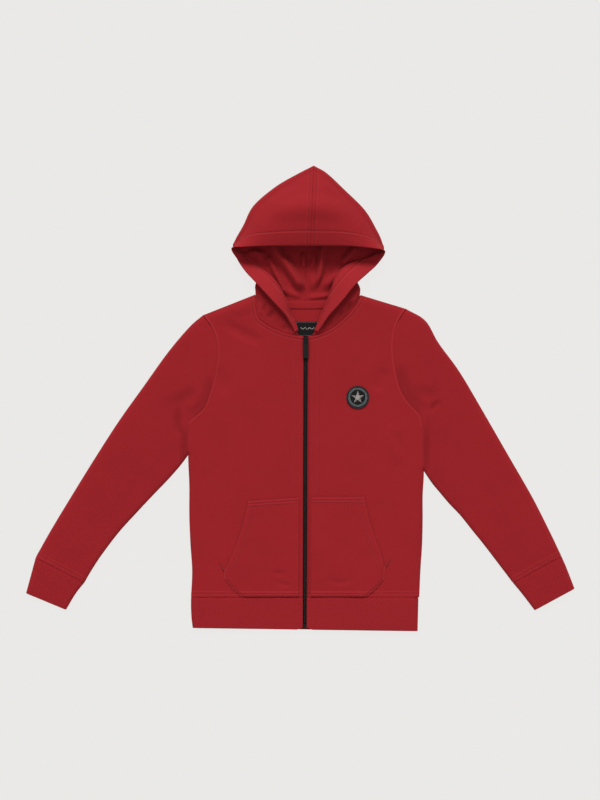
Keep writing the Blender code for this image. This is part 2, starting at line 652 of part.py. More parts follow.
def build_pull(finish):
    """The pull tab, its origin on the axis of its top bar, which lies under the slider's bridge."""
    length = PULL_LENGTH + PULL_BAR / 2
    middle = (ZIP_X_TOP, PULL_AXIS_Y + PULL_BAR / 2 - length / 2, PULL_AXIS_Z)
    outline = rounded_outline(PULL_WIDTH, length, PULL_CORNER)
    pull = plate("zip_pull", outline, middle, PULL_BAR, finish)
    hole = rounded_outline(PULL_HOLE_WIDTH, PULL_HOLE_LENGTH, 0.6)
    hole_middle = (ZIP_X_TOP, PULL_AXIS_Y - PULL_BAR / 2 - PULL_HOLE_LENGTH / 2, PULL_AXIS_Z)
    cutter = plate("pull_hole", hole, hole_middle, 3 * PULL_BAR, finish)
    hide(cutter)
    cut = pull.modifiers.new("hole", "BOOLEAN")
    cut.operation = "DIFFERENCE"
    cut.object = cutter
    axis = np.array((ZIP_X_TOP, PULL_AXIS_Y, PULL_AXIS_Z)) * MM
    pull.data.transform(Matrix.Translation(-axis))
    pull.location = axis
    return pull


def hood_section(row):
    """The middle line of one section of the hood, from its face edge to its seam."""
    spans = HOOD_SPANS
    edge = np.array((row.edge_x, row.edge_y, row.edge_z), float)
    roll = np.array((row.roll_x, row.roll_y, row.roll_z), float)
    turn = np.array((row.turn_x, row.turn_y, row.turn_z), float)
    seam = np.array((row.seam_x, row.seam_y, row.seam_z), float)
    reach = max(row.roll_half, 0.5)

    def towards(target):
        way = (target - roll)[:2]
        return way / np.linalg.norm(way)

    before = np.append(roll[:2] + towards(edge) * reach, roll[2] + row.roll_half)
    after = np.append(roll[:2] + towards(turn) * reach, roll[2] - row.roll_half)
    points = []
    swell = CROWN_SWELL * max(0, np.linalg.norm((before - edge)[:2]) - SWELL_FROM)
    for share in np.linspace(0, 1, spans.face + 1)[:-1]:
        point = edge + (before - edge) * share
        point[2] = before[2] + (edge[2] - before[2]) * (1 - share**2) + swell * math.sin(share * math.pi)
        points.append(point)
    for angle in np.linspace(90, -90, spans.roll + 1):
        way = towards(edge) if angle > 0 else towards(turn)
        around = math.radians(angle)
        flat = roll[:2] + way * reach * (1 - math.cos(around))
        points.append(np.append(flat, roll[2] + row.roll_half * math.sin(around)))
    for start, end, count in ((after, turn, spans.under), (turn, seam, spans.back)):
        for share in np.linspace(0, 1, count + 1)[1:]:
            point = start + (end - start) * share
            point[2] = start[2] + (end[2] - start[2]) * share * share * (3 - 2 * share)
            points.append(point)
    return np.array(points)


def hood_rows(side):
    """A hood half's rows, each seam end drawn in from the neck seam or from the other half."""
    rows = []
    for number, values in enumerate(finer(HOOD[side], FINER)):
        row = HoodRow(*values)
        if number <= CROWN_START:
            to_turn = np.array((row.turn_x - row.seam_x, row.turn_y - row.seam_y))
            inward = to_turn / np.linalg.norm(to_turn) * NECK_SEAM
            row = row._replace(seam_x=row.seam_x + inward[0], seam_y=row.seam_y + inward[1])
        if number >= CROWN_START:
            row = row._replace(seam_x=row.seam_x + OUTWARD[side] * SEAM)
        rows.append(row)
    return rows


def build_hood(side, finish):
    """Half of the hood: the collar round the neck, the crown folded over, and the back on the floor."""
    grid = np.array([hood_section(row) for row in hood_rows(side)])
    grid[-1, :-1, 0] += OUTWARD[side] * SEAM
    back = grid[:, -HOOD_SPANS.back - 1 :]
    held = np.linspace(0, 1, HOOD_SPANS.back + 1)[None] * np.ones((len(grid), 1))
    neck = held[: CROWN_START + 1]
    held[: CROWN_START + 1] = np.minimum(neck, 1 - neck)
    back[..., 2] += fold_rise(back[..., :2], HOOD_FOLDS) * np.clip(3 * held, 0, 1)
    normals = grid_normals(grid)
    upright = 1 - np.abs(normals[:, -2, 2:])
    normals[:, -1] = normals[:, -2] * np.hstack([upright, upright, np.ones_like(upright)])
    normals[-1, :, 0] = 0
    normals /= np.linalg.norm(normals, axis=-1, keepdims=True)
    from_corner = np.abs(np.arange(len(grid)) - CROWN_START) / CORNER_REACH
    thinning = np.clip(from_corner, CORNER_SHARE, 1)[:, None, None]
    return slab(f"hood_{side}", grid, WALL, finish, normals * thinning)


def main():
    for leftover in list(bpy.data.objects):
        bpy.data.objects.remove(leftover)
    cloth = material("sweatshirt_cloth", (0.31, 0.02, 0.024), 0.9)
    rib = material("rib_knit", (0.28, 0.018, 0.022), 0.92)
    woven = material("woven_label", (0.012, 0.012, 0.014), 0.8)
    tape = material("zip_tape", (0.015, 0.014, 0.014), 0.85)
    moulded = material("zip_moulding", (0.012, 0.012, 0.012), 0.4)
    build_back(cloth)
    for side in ("left", "right"):
        build_front(side, cloth)
        build_sleeve(side, cloth)
        build_cuff(side, rib)
        build_hood(side, cloth)
        build_pocket(side, cloth)
    build_hem(rib)
    build_neck_tape(cloth)
    build_label(woven)
    build_badge(woven)
    build_zip(tape, moulded)
    build_slider(moulded)
    build_pull(moulded)


main()
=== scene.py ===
"""Looks of a child's zipped hoodie, laid flat on its back with the hood open.

Each cloth piece is a thin shell on the form of its CAD solid, with finer folds, seams, ribs and stitches.
The tables and sizes are in millimetres, in the CAD's frame.  Left and right are the wearer's."""

import math
from collections import namedtuple

import bmesh
import bpy
import numpy as np
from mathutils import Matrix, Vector


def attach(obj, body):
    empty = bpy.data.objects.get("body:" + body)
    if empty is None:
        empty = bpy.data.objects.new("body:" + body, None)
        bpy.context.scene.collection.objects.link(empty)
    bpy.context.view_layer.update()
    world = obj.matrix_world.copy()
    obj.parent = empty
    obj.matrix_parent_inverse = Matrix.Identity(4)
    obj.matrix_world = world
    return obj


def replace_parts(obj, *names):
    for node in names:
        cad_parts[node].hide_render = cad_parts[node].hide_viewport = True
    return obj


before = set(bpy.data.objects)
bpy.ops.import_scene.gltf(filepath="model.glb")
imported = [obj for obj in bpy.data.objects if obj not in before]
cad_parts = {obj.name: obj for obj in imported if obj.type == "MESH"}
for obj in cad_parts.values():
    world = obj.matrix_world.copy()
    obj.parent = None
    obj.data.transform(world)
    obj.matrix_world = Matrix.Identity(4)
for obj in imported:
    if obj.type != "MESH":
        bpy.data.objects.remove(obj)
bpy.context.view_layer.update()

MM = 0.001

# Cloth
WALL = 2.2
RIB_WALL = 2.6
SEAM = 0.3  # how far the pieces lie apart
NECK_SEAM = 0.6
AIR = 3.2  # between the front and the back layer
FLOOR_MID = WALL / 2
BODY_TOP = 2 * WALL + AIR
FRONT_MID = BODY_TOP - WALL / 2
FRONT_EDGE_MID = WALL + SEAM + WALL / 2
EDGE_ROUND = 12.0  # how far in the front layer bends down to its edge
FOLD_SHARE = 0.08  # the same bend on a narrow tube, as a share of its width
SLEEVE_LENGTH = 420.0
CUFF_LENGTH = 50.0
HEM_LENGTH = 56.0
EDGE_HUG = 3  # how fast a grid's columns leave the shape of its side edges
ARMHOLE_EASE = 8  # how fast the sleeve's rows leave the shape of the armhole

# Zip
ZIP_X_TOP = 9.8
ZIP_X_BOTTOM = 8.2
ZIP_TOP = 108.5
ZIP_GAP = 6.8
CHAIN_MID = 5.6
CHAIN_TOP = 106.0
CHAIN_BOTTOM = -394.0
TOOTH_START = 1.5
TOOTH_PITCH = 2.7
TOOTH_SIZE = (3.5, 1.5, 2.2)
TOOTH_MESH = 0.7  # how far a tooth reaches over the middle
TOOTH_BEVEL = 0.35

# Hem
HEM_SEAM_Y = -348.0
HEM_Y_RIGHT = -402.0
HEM_Y_LEFT = -407.5
HEM_NOTCH_WIDTH = 10.0
HEM_NOTCH = 4.0

# Trimmings
BADGE_X = 101.0
BADGE_Y = 2.0
BADGE_RADIUS = 20.0
BADGE_WALL = 1.2
BADGE_RING = (12.8, 17.6)
BADGE_RIM_STITCHES = 110
BADGE_RING_STITCHES = 46
STAR_RADIUS = 11.0
LABEL_X = 13.0
LABEL_Y = 121.8
LABEL_WIDTH = 42.0
LABEL_HEIGHT = 25.0
LABEL_WALL = 0.8
LABEL_BORDER = 1.2  # how far in its row of thread runs
NECK_TAPE_DROP = 1.5
NECK_TAPE_WIDTH = 13.0
NECK_TAPE_WALL = 0.9

# Stage, in metres
FLOOR_SIZE = 6.0
FLOOR_GAP = 0.0002
CAMERA_PLACE = (0, -0.0026, 3.3132)

OUTWARD = {"left": 1, "right": -1}

SleeveRow = namedtuple("SleeveRow", "upper_x upper_y lower_x lower_y")
HoodRow = namedtuple(
    "HoodRow",
    "edge_x edge_y edge_z roll_x roll_y roll_z roll_half turn_x turn_y turn_z seam_x seam_y seam_z",
)
PocketRow = namedtuple("PocketRow", "outer_x outer_y inner_y")
HemRow = namedtuple("HemRow", "share right_x left_x")
HoodSpans = namedtuple("HoodSpans", "face roll under back")
# A crease lifts the cloth by its rise along a line, or lets it down, and fades over shares of its length
Crease = namedtuple("Crease", "half_width rise fade_in fade_out line")


def table(kind, *rows):
    return tuple(kind(*row) for row in rows)


# Outlines in plan, as points.  The body's runs from the hem seam up to the shoulder
UNDERARM = 7  # the point of the body's edge at the top of its side seam
SLEEVE_FOOT = 5  # the point where the sleeve's lower edge leaves the body
BODY_EDGE = {
    "right": (
        (-191, HEM_SEAM_Y), (-189, -302), (-192, -255), (-194, -205),
        (-194, -153), (-196, -102), (-196, -72), (-195, -43),
        (-186, -34), (-168, -18), (-160, 1), (-153, 24),
        (-147, 50), (-144, 80), (-147, 106), (-156, 127), (-170, 146),
    ),
    "left": (
        (209, HEM_SEAM_Y), (211, -302), (214, -255), (215, -212),
        (215, -170), (217, -130), (215, -90), (214, -46),
        (210, -31), (194, -13), (181, 4), (173, 22),
        (167, 48), (163, 80), (164, 109), (172, 136), (186, 157),
    ),
}
FRONT_NECK = {
    "right": (
        (-79.5, 181.8), (-78.2, 169), (-77, 155), (-73, 141.5), (-54, 127),
        (-29, 116), (0, 109.5), (ZIP_X_TOP - ZIP_GAP / 2, ZIP_TOP),
    ),
    "left": (
        (107, 181), (104, 174), (94, 158), (80, 143), (60, 126),
        (42, 116), (19, 109.5), (ZIP_X_TOP + ZIP_GAP / 2, ZIP_TOP),
    ),
}
BACK_NECK = (
    (-79.5, 181.8), (-66, 175), (-47, 173), (-21, 172), (9.5, 171.5),
    (42, 172), (72, 173), (94, 175), (107, 181),
)
SLEEVE = {
    "right": table(
        SleeveRow,
        (-194, 125, -210, -118), (-232, 80, -232, -143), (-275, 20, -259, -171),
        (-317, -39, -287, -201), (-359, -104, -317, -234),
        (-401, -172, -346, -272), (-436, -230, -364, -299),
        (-463, -278, -378, -323),
    ),
    "left": table(
        SleeveRow,
        (220, 136, 231, -148), (243, 97, 245, -165), (280, 46, 262, -185),
        (322, -25, 281, -205), (364, -98, 301, -230), (406, -171, 322, -256),
        (436, -230, 348, -290), (458, -276, 373, -323),
    ),
}
CUFF = {
    "right": table(
        SleeveRow,
        (-463, -278, -378, -323), (-467, -293, -388, -335),
        (-480, -341, -410, -370),
    ),
    "left": table(
        SleeveRow,
        (458, -276, 373, -323), (465, -292, 384, -336), (481, -333, 411, -371),
    ),
}
HOOD = {
    "right": table(
        HoodRow,
        (-10.5, 117, 11.5, -4, 118.5, 9.5, 1.8, -3.5, 113, 7, 0, 109.5, 6.5),
        (-13.5, 126, 13.5, -8.5, 132, 11, 2.2, -17, 123, 7.5, -29, 116, 6.5),
        (-24, 145, 17, -17, 149, 14, 2.8, -30, 139, 9.5, -54, 127, 6.5),
        (-38, 160, 21, -22, 165, 17.5, 3.2, -45, 157, 12, -73, 141.5, 6.5),
        (-52, 175, 23, -30, 184, 18.5, 3.2, -61, 174, 12.5, -76.6, 155, 6),
        (-68, 192, 22, -39.5, 201, 17.5, 3.2, -76, 191, 11, -77.5, 169, 5.2),
        (-82, 207, 18.5, -51, 214, 15, 3, -77, 202, 10, -66, 175, 3.7),
        (-97, 224, 10, -68, 228, 8.5, 2.2, -67, 214, 6, -47, 173, 1.1),
        (-110, 244, 6, -93, 242, 6, 1.9, -80, 232, 4, -21, 172, 1.1),
        (-119, 261, 29, -115, 262.5, 16, 3, -101, 254, 4.5, 9.5, 171.5, 1.1),
        (-97, 263.5, 33.5, -113, 277, 9, 5.5, -93, 260, 1.1, 9.5, 200, 1.1),
        (-70, 264.5, 34, -98.5, 302, 8.6, 7.5, -73, 281, 1.1, 10.5, 232, 1.1),
        (-42, 265, 34, -80.5, 336.5, 9.6, 8.5, -49, 311, 1.1, 12.5, 267, 1.1),
        (-14, 265, 34.5, -41.5, 370, 9.6, 8.5, -21, 344, 1.1, 16, 305, 1.1),
        (4, 265, 35, 0, 394, 9, 7.9, 6, 373, 1.1, 19.5, 347, 1.1),
        (18, 265, 35, 24, 406, 8.1, 7, 24, 392, 1.1, 24, 381, 1.1),
    ),
    "left": table(
        HoodRow,
        (32, 117.5, 11.5, 26, 118.5, 9.5, 1.8, 23.5, 113, 7, 19, 109.5, 6.5),
        (37, 125, 13.5, 31.5, 131, 11, 2.2, 38, 123, 7.5, 42, 116, 6.5),
        (49.5, 144, 17, 38, 149, 14, 2.8, 52, 137, 9, 60, 126, 6.5),
        (65, 161, 21, 48, 169, 17.5, 3.2, 69, 156, 11.5, 80, 143, 6.5),
        (80, 178, 23, 55.5, 192, 18.5, 3.2, 88, 172, 12.5, 94, 158, 6),
        (92, 193, 22, 61, 209, 17.5, 3.2, 104, 189, 11, 103.3, 174, 5.2),
        (104.5, 206, 18.5, 72, 225, 15, 3, 101, 202, 10, 94, 175, 3.7),
        (119, 219, 12, 88, 237, 10, 2.2, 89, 217, 7, 72, 173, 1.1),
        (136.5, 236, 7.5, 117, 246, 7, 1.9, 104, 236, 4, 42, 172, 1.1),
        (148, 255.5, 29, 144, 257.5, 16, 3, 129, 249, 4.5, 9.5, 171.5, 1.1),
        (127, 261, 33.5, 143, 274, 9, 5.5, 125, 256, 1.1, 9.5, 200, 1.1),
        (102, 263.5, 34, 133, 295, 8.6, 7.5, 107, 276, 1.1, 10.5, 232, 1.1),
        (75, 265, 34, 112.5, 329, 9.6, 8.5, 82, 305, 1.1, 12.5, 267, 1.1),
        (49, 265, 34.5, 77.5, 364, 9.6, 8.5, 58, 337, 1.1, 16, 305, 1.1),
        (32, 265, 35, 46, 393.5, 9, 7.9, 37, 369, 1.1, 19.5, 347, 1.1),
        (18, 265, 35, 24, 406, 8.1, 7, 24, 392, 1.1, 24, 381, 1.1),
    ),
}
CROWN_ROW = 10
HOOD_STEPS = 8  # sections for each row of the hood's table
CENTRE_STEPS = 34  # sections beside the centre seam
HEM_CLOSENESS = 5  # how much closer the points lie at the stitches
HOOD_SPANS = HoodSpans(40, 10, 8, 60)
CROWN_START = (CROWN_ROW - 1) * HOOD_STEPS
COLLAR_END = 6 * HOOD_STEPS
COLLAR_PAINTED_LIGHT = 0.2  # how much painted shade darkens a collar's fold, and painted highlight pales its ridge, for each millimetre
FOLD_PAINTED_SHADE = 0.2  # the same painted shade for a sleeve's fold
LAPEL_END = 9 * HOOD_STEPS
LAPEL_PAINTED_HIGHLIGHT = 0.4  # how strong the painted highlight on the lapel is
CORNER_SHARE = 0.5  # how thin the cloth is at the tight corner of the crown
CORNER_REACH = 2  # rows of the table until it is whole again
HOOD_CREASES = table(
    Crease,
    (14, 14.0, 0.0, 0.2, ((-44, 268), (-40, 256), (-26, 238), (-10, 214), (2, 194), (6, 186))),
    (8, 11.0, 0.0, 0.25, ((42, 268), (40, 262), (37.5, 240), (34, 215), (27, 194))),
    (8, 8.0, 0.1, 0.2, ((-56, 252), (-50, 236), (-40, 215), (-30, 192), (-24, 178))),
    (13, 7.0, 0.25, 0.35, ((78, 226), (62, 214), (50, 204), (38, 188))),
    (10, 9.0, 0.1, 0.4, ((-92, 260), (-78, 256), (-56, 246))),
    (6, 4.0, 0.2, 0.3, ((-78, 248), (-66, 243), (-54, 236))),
    (10, 8.0, 0.0, 0.4, ((96, 262), (84, 248), (70, 232))),
    (6, 6.0, 0.2, 0.3, ((4, 256), (6, 240), (6, 226))),
    (13, 5.0, 0.45, 0.35, ((18, 226), (23, 208), (23, 186))),
    (5, 4.0, 0.3, 0.3, ((22, 258), (24, 244), (21, 230))),
    (7, 3.0, 0.3, 0.25, ((10, 176), (30, 178), (54, 181))),
    (9, 2.6, 0.3, 0.25, ((-34, 192), (-16, 184), (4, 179))),
)
# Soft folds of the collar, down to the neck seam
COLLAR_CREASES = {
    "right": table(
        Crease,
        (8, -2.4, 0.2, 0.25, ((-38, 164), (-47, 152), (-56, 138))),
        (6, -1.4, 0.3, 0.3, ((-56, 172), (-62, 160), (-66, 148))),
        (7, -1.6, 0.2, 0.3, ((-20, 134), (-25, 126), (-30, 118))),
        (9, 1.2, 0.3, 0.3, ((-70, 172), (-70, 158), (-68, 144))),
    ),
    "left": table(
        Crease,
        (6, -2.4, 0.2, 0.3, ((84, 184), (86, 168), (85, 148))),
        (4, 1.2, 0.3, 0.3, ((64, 156), (61, 146), (60, 132))),
        (6, -1.8, 0.2, 0.3, ((46, 146), (50, 136), (52, 124))),
        (5, -1.4, 0.3, 0.3, ((73, 166), (72, 156), (72, 142))),
        (5, 1.0, 0.3, 0.3, ((96, 182), (95, 174), (93, 164))),
    ),
}
CROWN_CREASES = table(
    Crease,
    (28, 5.2, 0.3, 0.3, ((-74, 324), (-20, 330), (40, 331), (106, 320))),
    (10, 1.2, 0.3, 0.4, ((-74, 345), (-56, 342), (-34, 344))),
    (13, 1.6, 0.4, 0.4, ((-52, 352), (-24, 356), (4, 358))),
    (12, -1.4, 0.4, 0.4, ((-40, 368), (-24, 374), (-6, 374))),
    (9, 1.4, 0.4, 0.4, ((36, 372), (52, 366), (70, 352))),
    (7, 0.8, 0.3, 0.4, ((-88, 322), (-78, 306), (-72, 292))),
    (7, 0.8, 0.3, 0.4, ((116, 318), (104, 300), (98, 288))),
    (3.5, 1.3, 0.3, 0.3, ((8, 391), (20, 393.5), (33, 392))),
)
FRONT_CREASES = table(
    Crease,
    (15, -2.6, 0.35, 0.3, ((-140, 138), (-108, 118), (-80, 104), (-62, 92))),
    (22, 2.2, 0.3, 0.3, ((158, -40), (166, -76), (178, -116))),
    (20, -1.8, 0.3, 0.3, ((-150, 60), (-140, 30), (-128, 4))),
    (20, -1.8, 0.3, 0.3, ((150, 56), (142, 30), (134, 8))),
    (15, 1.3, 0.3, 0.4, ((-120, 150), (-96, 160), (-88, 172))),
    (12, -2.2, 0.3, 0.4, ((158, -48), (172, -78), (186, -112))),
)
POCKET_CREASES = table(
    Crease,
    (7, -1.4, 0.4, 0.4, ((-52, -302), (-38, -306), (-22, -304))),
    (6, -1.2, 0.4, 0.4, ((-46, -318), (-30, -325), (-12, -327))),
    (8, -1.2, 0.4, 0.4, ((44, -316), (70, -322), (96, -318))),
)
SLEEVE_CREASES = {
    "right": table(
        Crease,
        (20, -2.9, 0.25, 0.2, ((-149, 44), (-156, 12), (-167, -15), (-192, -39))),
        (10, -1.8, 0.3, 0.4, ((-206, -70), (-214, -44), (-212, -8))),
        (11, -2.4, 0.3, 0.3, ((-201, -126), (-202, -90), (-201, -48))),
        (16, -1.6, 0.4, 0.4, ((-176, 20), (-204, 2), (-236, -12))),
    ),
    "left": table(
        Crease,
        (28, -2.7, 0.25, 0.2, ((166, 66), (175, 26), (194, -9), (212, -36))),
        (8, -2.0, 0.3, 0.4, ((226, -22), (238, -10), (250, -4))),
        (11, -2.6, 0.2, 0.4, ((220, -134), (221, -86), (221, -36))),
        (14, -1.2, 0.3, 0.4, ((196, 20), (222, 10), (248, 8))),
    ),
}
POCKET = {
    "right": table(
        PocketRow,
        (-101, -347, -347), (-117.5, -335, -332), (-132.5, -315, -311),
        (-132, -298.5, -294), (-125, -285, -278), (-112, -254.5, -247),
        (-101.7, -224, -217), (-93.3, -189, -183), (-91.4, -178.5, -172.5),
    ),
    "left": table(
        PocketRow,
        (116, -347, -347), (133, -333, -333), (147.5, -316, -316),
        (148.8, -294, -294), (142.5, -270, -270), (131, -240, -240),
        (121, -206, -206), (115.5, -184, -184), (113.4, -171.5, -172),
    ),
}
POCKET_FROM_ZIP = 10.5
LOW_PRESS = 0.8  # how far the pocket's low edge is pressed down under its stitches
LOW_REACH = 6.0
LOW_WALL = 1.0
POCKET_WIDTH = 125.0
HEM = table(
    HemRow,
    (0.0, -191, 207.5), (0.35, -191, 207), (0.7, -190, 206.5), (1.0, -188, 206),
)

# How far the stitch rows run from their edges
NECK_STITCH = 5.5
PLACKET_STITCH = (10.5, 20.5)
PLACKET_ROLL = {"left": 0.7, "right": 0.25}  # how far the cloth rolls down to the zip
PLACKET_REACH = {"left": 7.0, "right": 3.5}
HEM_STITCH = 6.4
OPENING_STITCH = (11.0, 14.5)
POCKET_TOP_STITCH = (6.0, 11.0)
LOW_STITCH = 3.0
HOOD_HEM = 26.0
LAPEL_LIFT = 5.0  # the free edge of the lapel stands up
LAPEL_DIP = 4.0
CROWN_SWELL = 0.13  # rise of a section between its face edge and its roll, for each mm over SWELL_FROM
SWELL_FROM = 25.0
# The folds of the hood and the collar reach their full height at these distances from their ends
FOLD_START, FOLD_END = 16.0, 7.0
COLLAR_FOLD_START, COLLAR_FOLD_END = 4.0, 5.0
CROWN_FOLD_START = 12.0
CENTRE_STITCH = 6.6

# Fineness of the shells
CLOTH_STEP = 3.2
FINE_STEP = 0.9  # beside the seams
FINE_BLEND = 14.0  # the steps grow from fine to full over this length
RIB_PITCH = 3.0
RIB_POINTS = 4  # grid points to a rib
RIB_DEPTH = 0.35
RIB_START, RIB_END = 6.0, 8.0  # the ribs fade in over this length at the seam, and out at the folded edge
RIB_PRESS, RIB_PRESS_REACH = 0.4, 4.0  # how far and over what length the rib is pressed down at its seam
RIB_PAINTED_LIGHT = 0.8  # painted highlight on a rib and painted shade in its furrows, for each millimetre
SEAM_PAINT_REACH = 2.5  # how far the painted shade beside a seam reaches, and the painted highlight by the pocket's low edge
WALL_ROUND = 0.42  # how far a wall's faces draw in at its edge, as a share of the wall
STEP_ROUND = 0.45  # the same at most, as a share of the last step of the grid

# Rolls and stitched grooves beside the seams: distance from the edge, half width and rise of each. The same
# rises also paint a highlight on the crests and shade in the grooves.
ARMHOLE_FORMS = ((1.6, 3.0, 0.6),)
NECK_FORMS = ((2.6, 2.6, 0.3), (NECK_STITCH, 1.9, -0.4), (8.4, 2.4, 0.25))
PLACKET_FORMS = [form for at in PLACKET_STITCH for form in ((at, 1.6, -0.15), (at - 2.4, 2.2, 0.06))]
HEM_FORMS = ((3.7, 2.3, 0.34), (HEM_STITCH, 1.5, -0.12), (9.2, 2.3, 0.38))
OPENING_FORMS = [form for at in OPENING_STITCH for form in ((at, 1.4, -0.1), (at - 2.0, 1.8, 0.06))]
TOP_FORMS = [form for at in POCKET_TOP_STITCH for form in ((at, 1.4, -0.25), (at - 2.5, 2.0, 0.42))]
LOW_FORMS = ((1.8, 1.8, 0.15), (LOW_STITCH, 1.4, -0.25))
HOOD_HEM_FORMS = ((HOOD_HEM + 1.0, 1.9, -0.5), (HOOD_HEM - 1.8, 2.4, 0.6))
CENTRE_FORMS = ((CENTRE_STITCH, 1.9, -0.35), (0, 1.9, -0.3), (CENTRE_STITCH + 2.4, 2.2, 0.25))

SLEEVE_SEAM_SHARE = 0.75  # how high the cuff seam's rolls are beside those of the hem

# The ends of the bar tacks at the low corners of the pocket's openings
BAR_TACKS = {"right": ((-141, -289), (-133, -300)), "left": ((159, -281), (151, -292))}
NECK_MIDDLE = (ZIP_X_TOP, 230)  # a place inside the curve of the neck

# Seam allowances that lie between the pieces: their radius, and how high their middles are off the floor
CORD_RADIUS = 0.8
ARMHOLE_CORD_RADIUS = 1.4
HEM_CORD_Y = HEM_SEAM_Y - 0.1
CORD_HEIGHT = {
    "back": 1.2, "back_neck": 1.3, "body": 2.3, "turned_in": 3.8, "neck": 6.0, "armhole": 6.4, "rib": 6.5,
}

# Gentle unevenness of the cloth: wavelength, seed and height of each
FRONT_SWELL = ((130, 5, 0.5), (48, 6, 0.16))
SLEEVE_SWELL = ((110, 21, 0.5), (40, 22, 0.18))

# How long the stretches of fine steps are at the first and the last end of a shell
FINE_ENDS = {
    "shoulder": (12, 0), "neck": (0, 26), "body": (14, 20), "sleeve": (9, 16), "rib": (5, 3),
    "pocket_up": (12, 14), "pocket_across": (3, 28),
}


def arc_lengths(line):
    steps = np.linalg.norm(np.diff(line, axis=0), axis=1)
    return np.concatenate([[0.0], np.cumsum(steps)])


def along(line, shares):
    """Points of a line at these shares of its length, or this many evenly spaced points."""
    line = np.array(line, float)
    lengths = arc_lengths(line)
    shares = np.linspace(0, 1, shares) if isinstance(shares, int) else np.array(shares)
    return np.column_stack([np.interp(shares * lengths[-1], lengths, axis) for axis in line.T])


def curve(points, count, knots=None, shares=None):
    """A smooth curve through points, at evenly spaced knots or at shares of their reach."""
    points = np.array(points, float)
    knots = arc_lengths(points) if knots is None else np.array(knots, float)
    slopes = np.gradient(points, knots, axis=0)
    wanted = np.linspace(knots[0], knots[-1], count)
    if shares is not None:
        wanted = knots[0] + (knots[-1] - knots[0]) * np.array(shares)
    here = np.clip(np.searchsorted(knots, wanted, side="right") - 1, 0, len(knots) - 2)
    there = here + 1
    run = (knots[there] - knots[here])[:, None]
    share = (wanted - knots[here])[:, None] / run
    ends = points[here] * (2 * share**3 - 3 * share**2 + 1) + points[there] * (3 * share**2 - 2 * share**3)
    bends = slopes[here] * (share**3 - 2 * share**2 + share) + slopes[there] * (share**3 - share**2)
    return ends + bends * run


def fair(points, count):
    """A smooth curve through points, as evenly spaced points."""
    return along(curve(points, len(points) * 12), count)


def smooth_step(value):
    value = np.clip(value, 0, 1)
    return value * value * (3 - 2 * value)


def near(distance, reach):
    """How near an edge is: 1 at the edge itself, softly down to 0 from a reach on."""
    return smooth_step(1 - distance / reach)


def reached(grid, axis):
    """How far each point of a grid is from its first row or column, along the grid."""
    steps = np.diff(grid, axis=axis, prepend=grid.take([0], axis))
    return np.cumsum(np.linalg.norm(steps, axis=-1), axis=axis)


def graded(length, ends, corners=()):
    """Shares of a length, in fine steps at its two ends, with a step at each corner."""
    first, last = FINE_ENDS[ends]
    places = np.linspace(0, length, 3000)
    between = np.minimum(places - first, length - last - places)
    step = FINE_STEP + (CLOTH_STEP - FINE_STEP) * smooth_step(between / FINE_BLEND)
    counted = np.concatenate([[0], np.cumsum(np.diff(places) / step[1:])])
    shares = np.interp(np.linspace(0, counted[-1], round(counted[-1]) + 1), counted, places) / length
    for corner in corners:
        shares[1 + np.argmin(np.abs(shares[1:-1] - corner))] = corner
    return shares


def at_shares(line, axis, shares):
    """Points of a line at shares of its reach along an axis."""
    line = np.array(line, float)
    reached = shares_between(line[:, axis])
    return np.column_stack([np.interp(shares, reached, part) for part in line.T])


def coons(bottom, top, left, right, across, up):
    """A grid of plan points between four edge lines, ruled from bottom to top, hugging the side lines."""
    bottom, top = np.array(bottom, float)[None], np.array(top, float)[None]
    left, right = np.array(left, float)[:, None], np.array(right, float)[:, None]
    across, up = np.array(across)[None, :, None], np.array(up)[:, None, None]
    ruled = (1 - up) * bottom + up * top
    near_left = (1 - across) ** EDGE_HUG
    near_right = across**EDGE_HUG
    return ruled + near_left * (left - ruled[:, :1]) + near_right * (right - ruled[:, -1:])


def place_on(points, line):
    """How far each plan point is from a line, and how far along the line the nearest place is."""
    line = np.array(line, float)
    lengths = arc_lengths(line)
    best = np.full(points.shape[:-1], np.inf)
    share_along = np.zeros(points.shape[:-1])
    for start, end, before, after in zip(line[:-1], line[1:], lengths[:-1], lengths[1:]):
        run = end - start
        share = np.clip(((points - start) @ run) / (run @ run), 0, 1)
        away = np.linalg.norm(points - start - share[..., None] * run, axis=-1)
        nearer = away < best
        best = np.where(nearer, away, best)
        share_along = np.where(nearer, (before + (after - before) * share) / lengths[-1], share_along)
    return best, share_along


def distance_to(points, line):
    return place_on(points, line)[0]


def unevenness(points, wavelength, seed, waves=14):
    """A gentle unevenness between about -1 and 1 over plan points, always the same for a seed."""
    chance = np.random.default_rng(seed)
    turns = chance.uniform(0, 2 * math.pi, waves)
    lengths = wavelength * chance.uniform(0.7, 1.7, waves)
    starts = chance.uniform(0, 2 * math.pi, waves)
    total = np.zeros(points.shape[:-1])
    for turn, length, start in zip(turns, lengths, starts):
        across_wave = points[..., 0] * math.cos(turn) + points[..., 1] * math.sin(turn)
        total += np.sin(across_wave * 2 * math.pi / length + start)
    return total / math.sqrt(waves) / 1.6


def swell_of(points, waves):
    return sum(unevenness(points, wavelength, seed) * height for wavelength, seed, height in waves)


def crease_rise(points, creases):
    """How far creases lift the cloth at each plan point, or let it down."""
    rise = np.zeros(points.shape[:-1])
    for crease in creases:
        line = curve(crease.line, 24) if len(crease.line) > 2 else np.array(crease.line, float)
        away, share = place_on(points, line)
        lifted = crease.rise * (1 + np.cos(np.clip(away / crease.half_width, 0, 1) * math.pi)) / 2
        if crease.fade_in:
            lifted *= smooth_step(share / crease.fade_in)
        if crease.fade_out:
            lifted *= smooth_step((1 - share) / crease.fade_out)
        rise += lifted
    return rise


def zip_x(y):
    share = (ZIP_TOP - np.array(y, float)) / (ZIP_TOP - HEM_Y_RIGHT)
    return ZIP_X_TOP + (ZIP_X_BOTTOM - ZIP_X_TOP) * share


def shoulder_line(side):
    return [BODY_EDGE[side][-1], FRONT_NECK[side][0]]


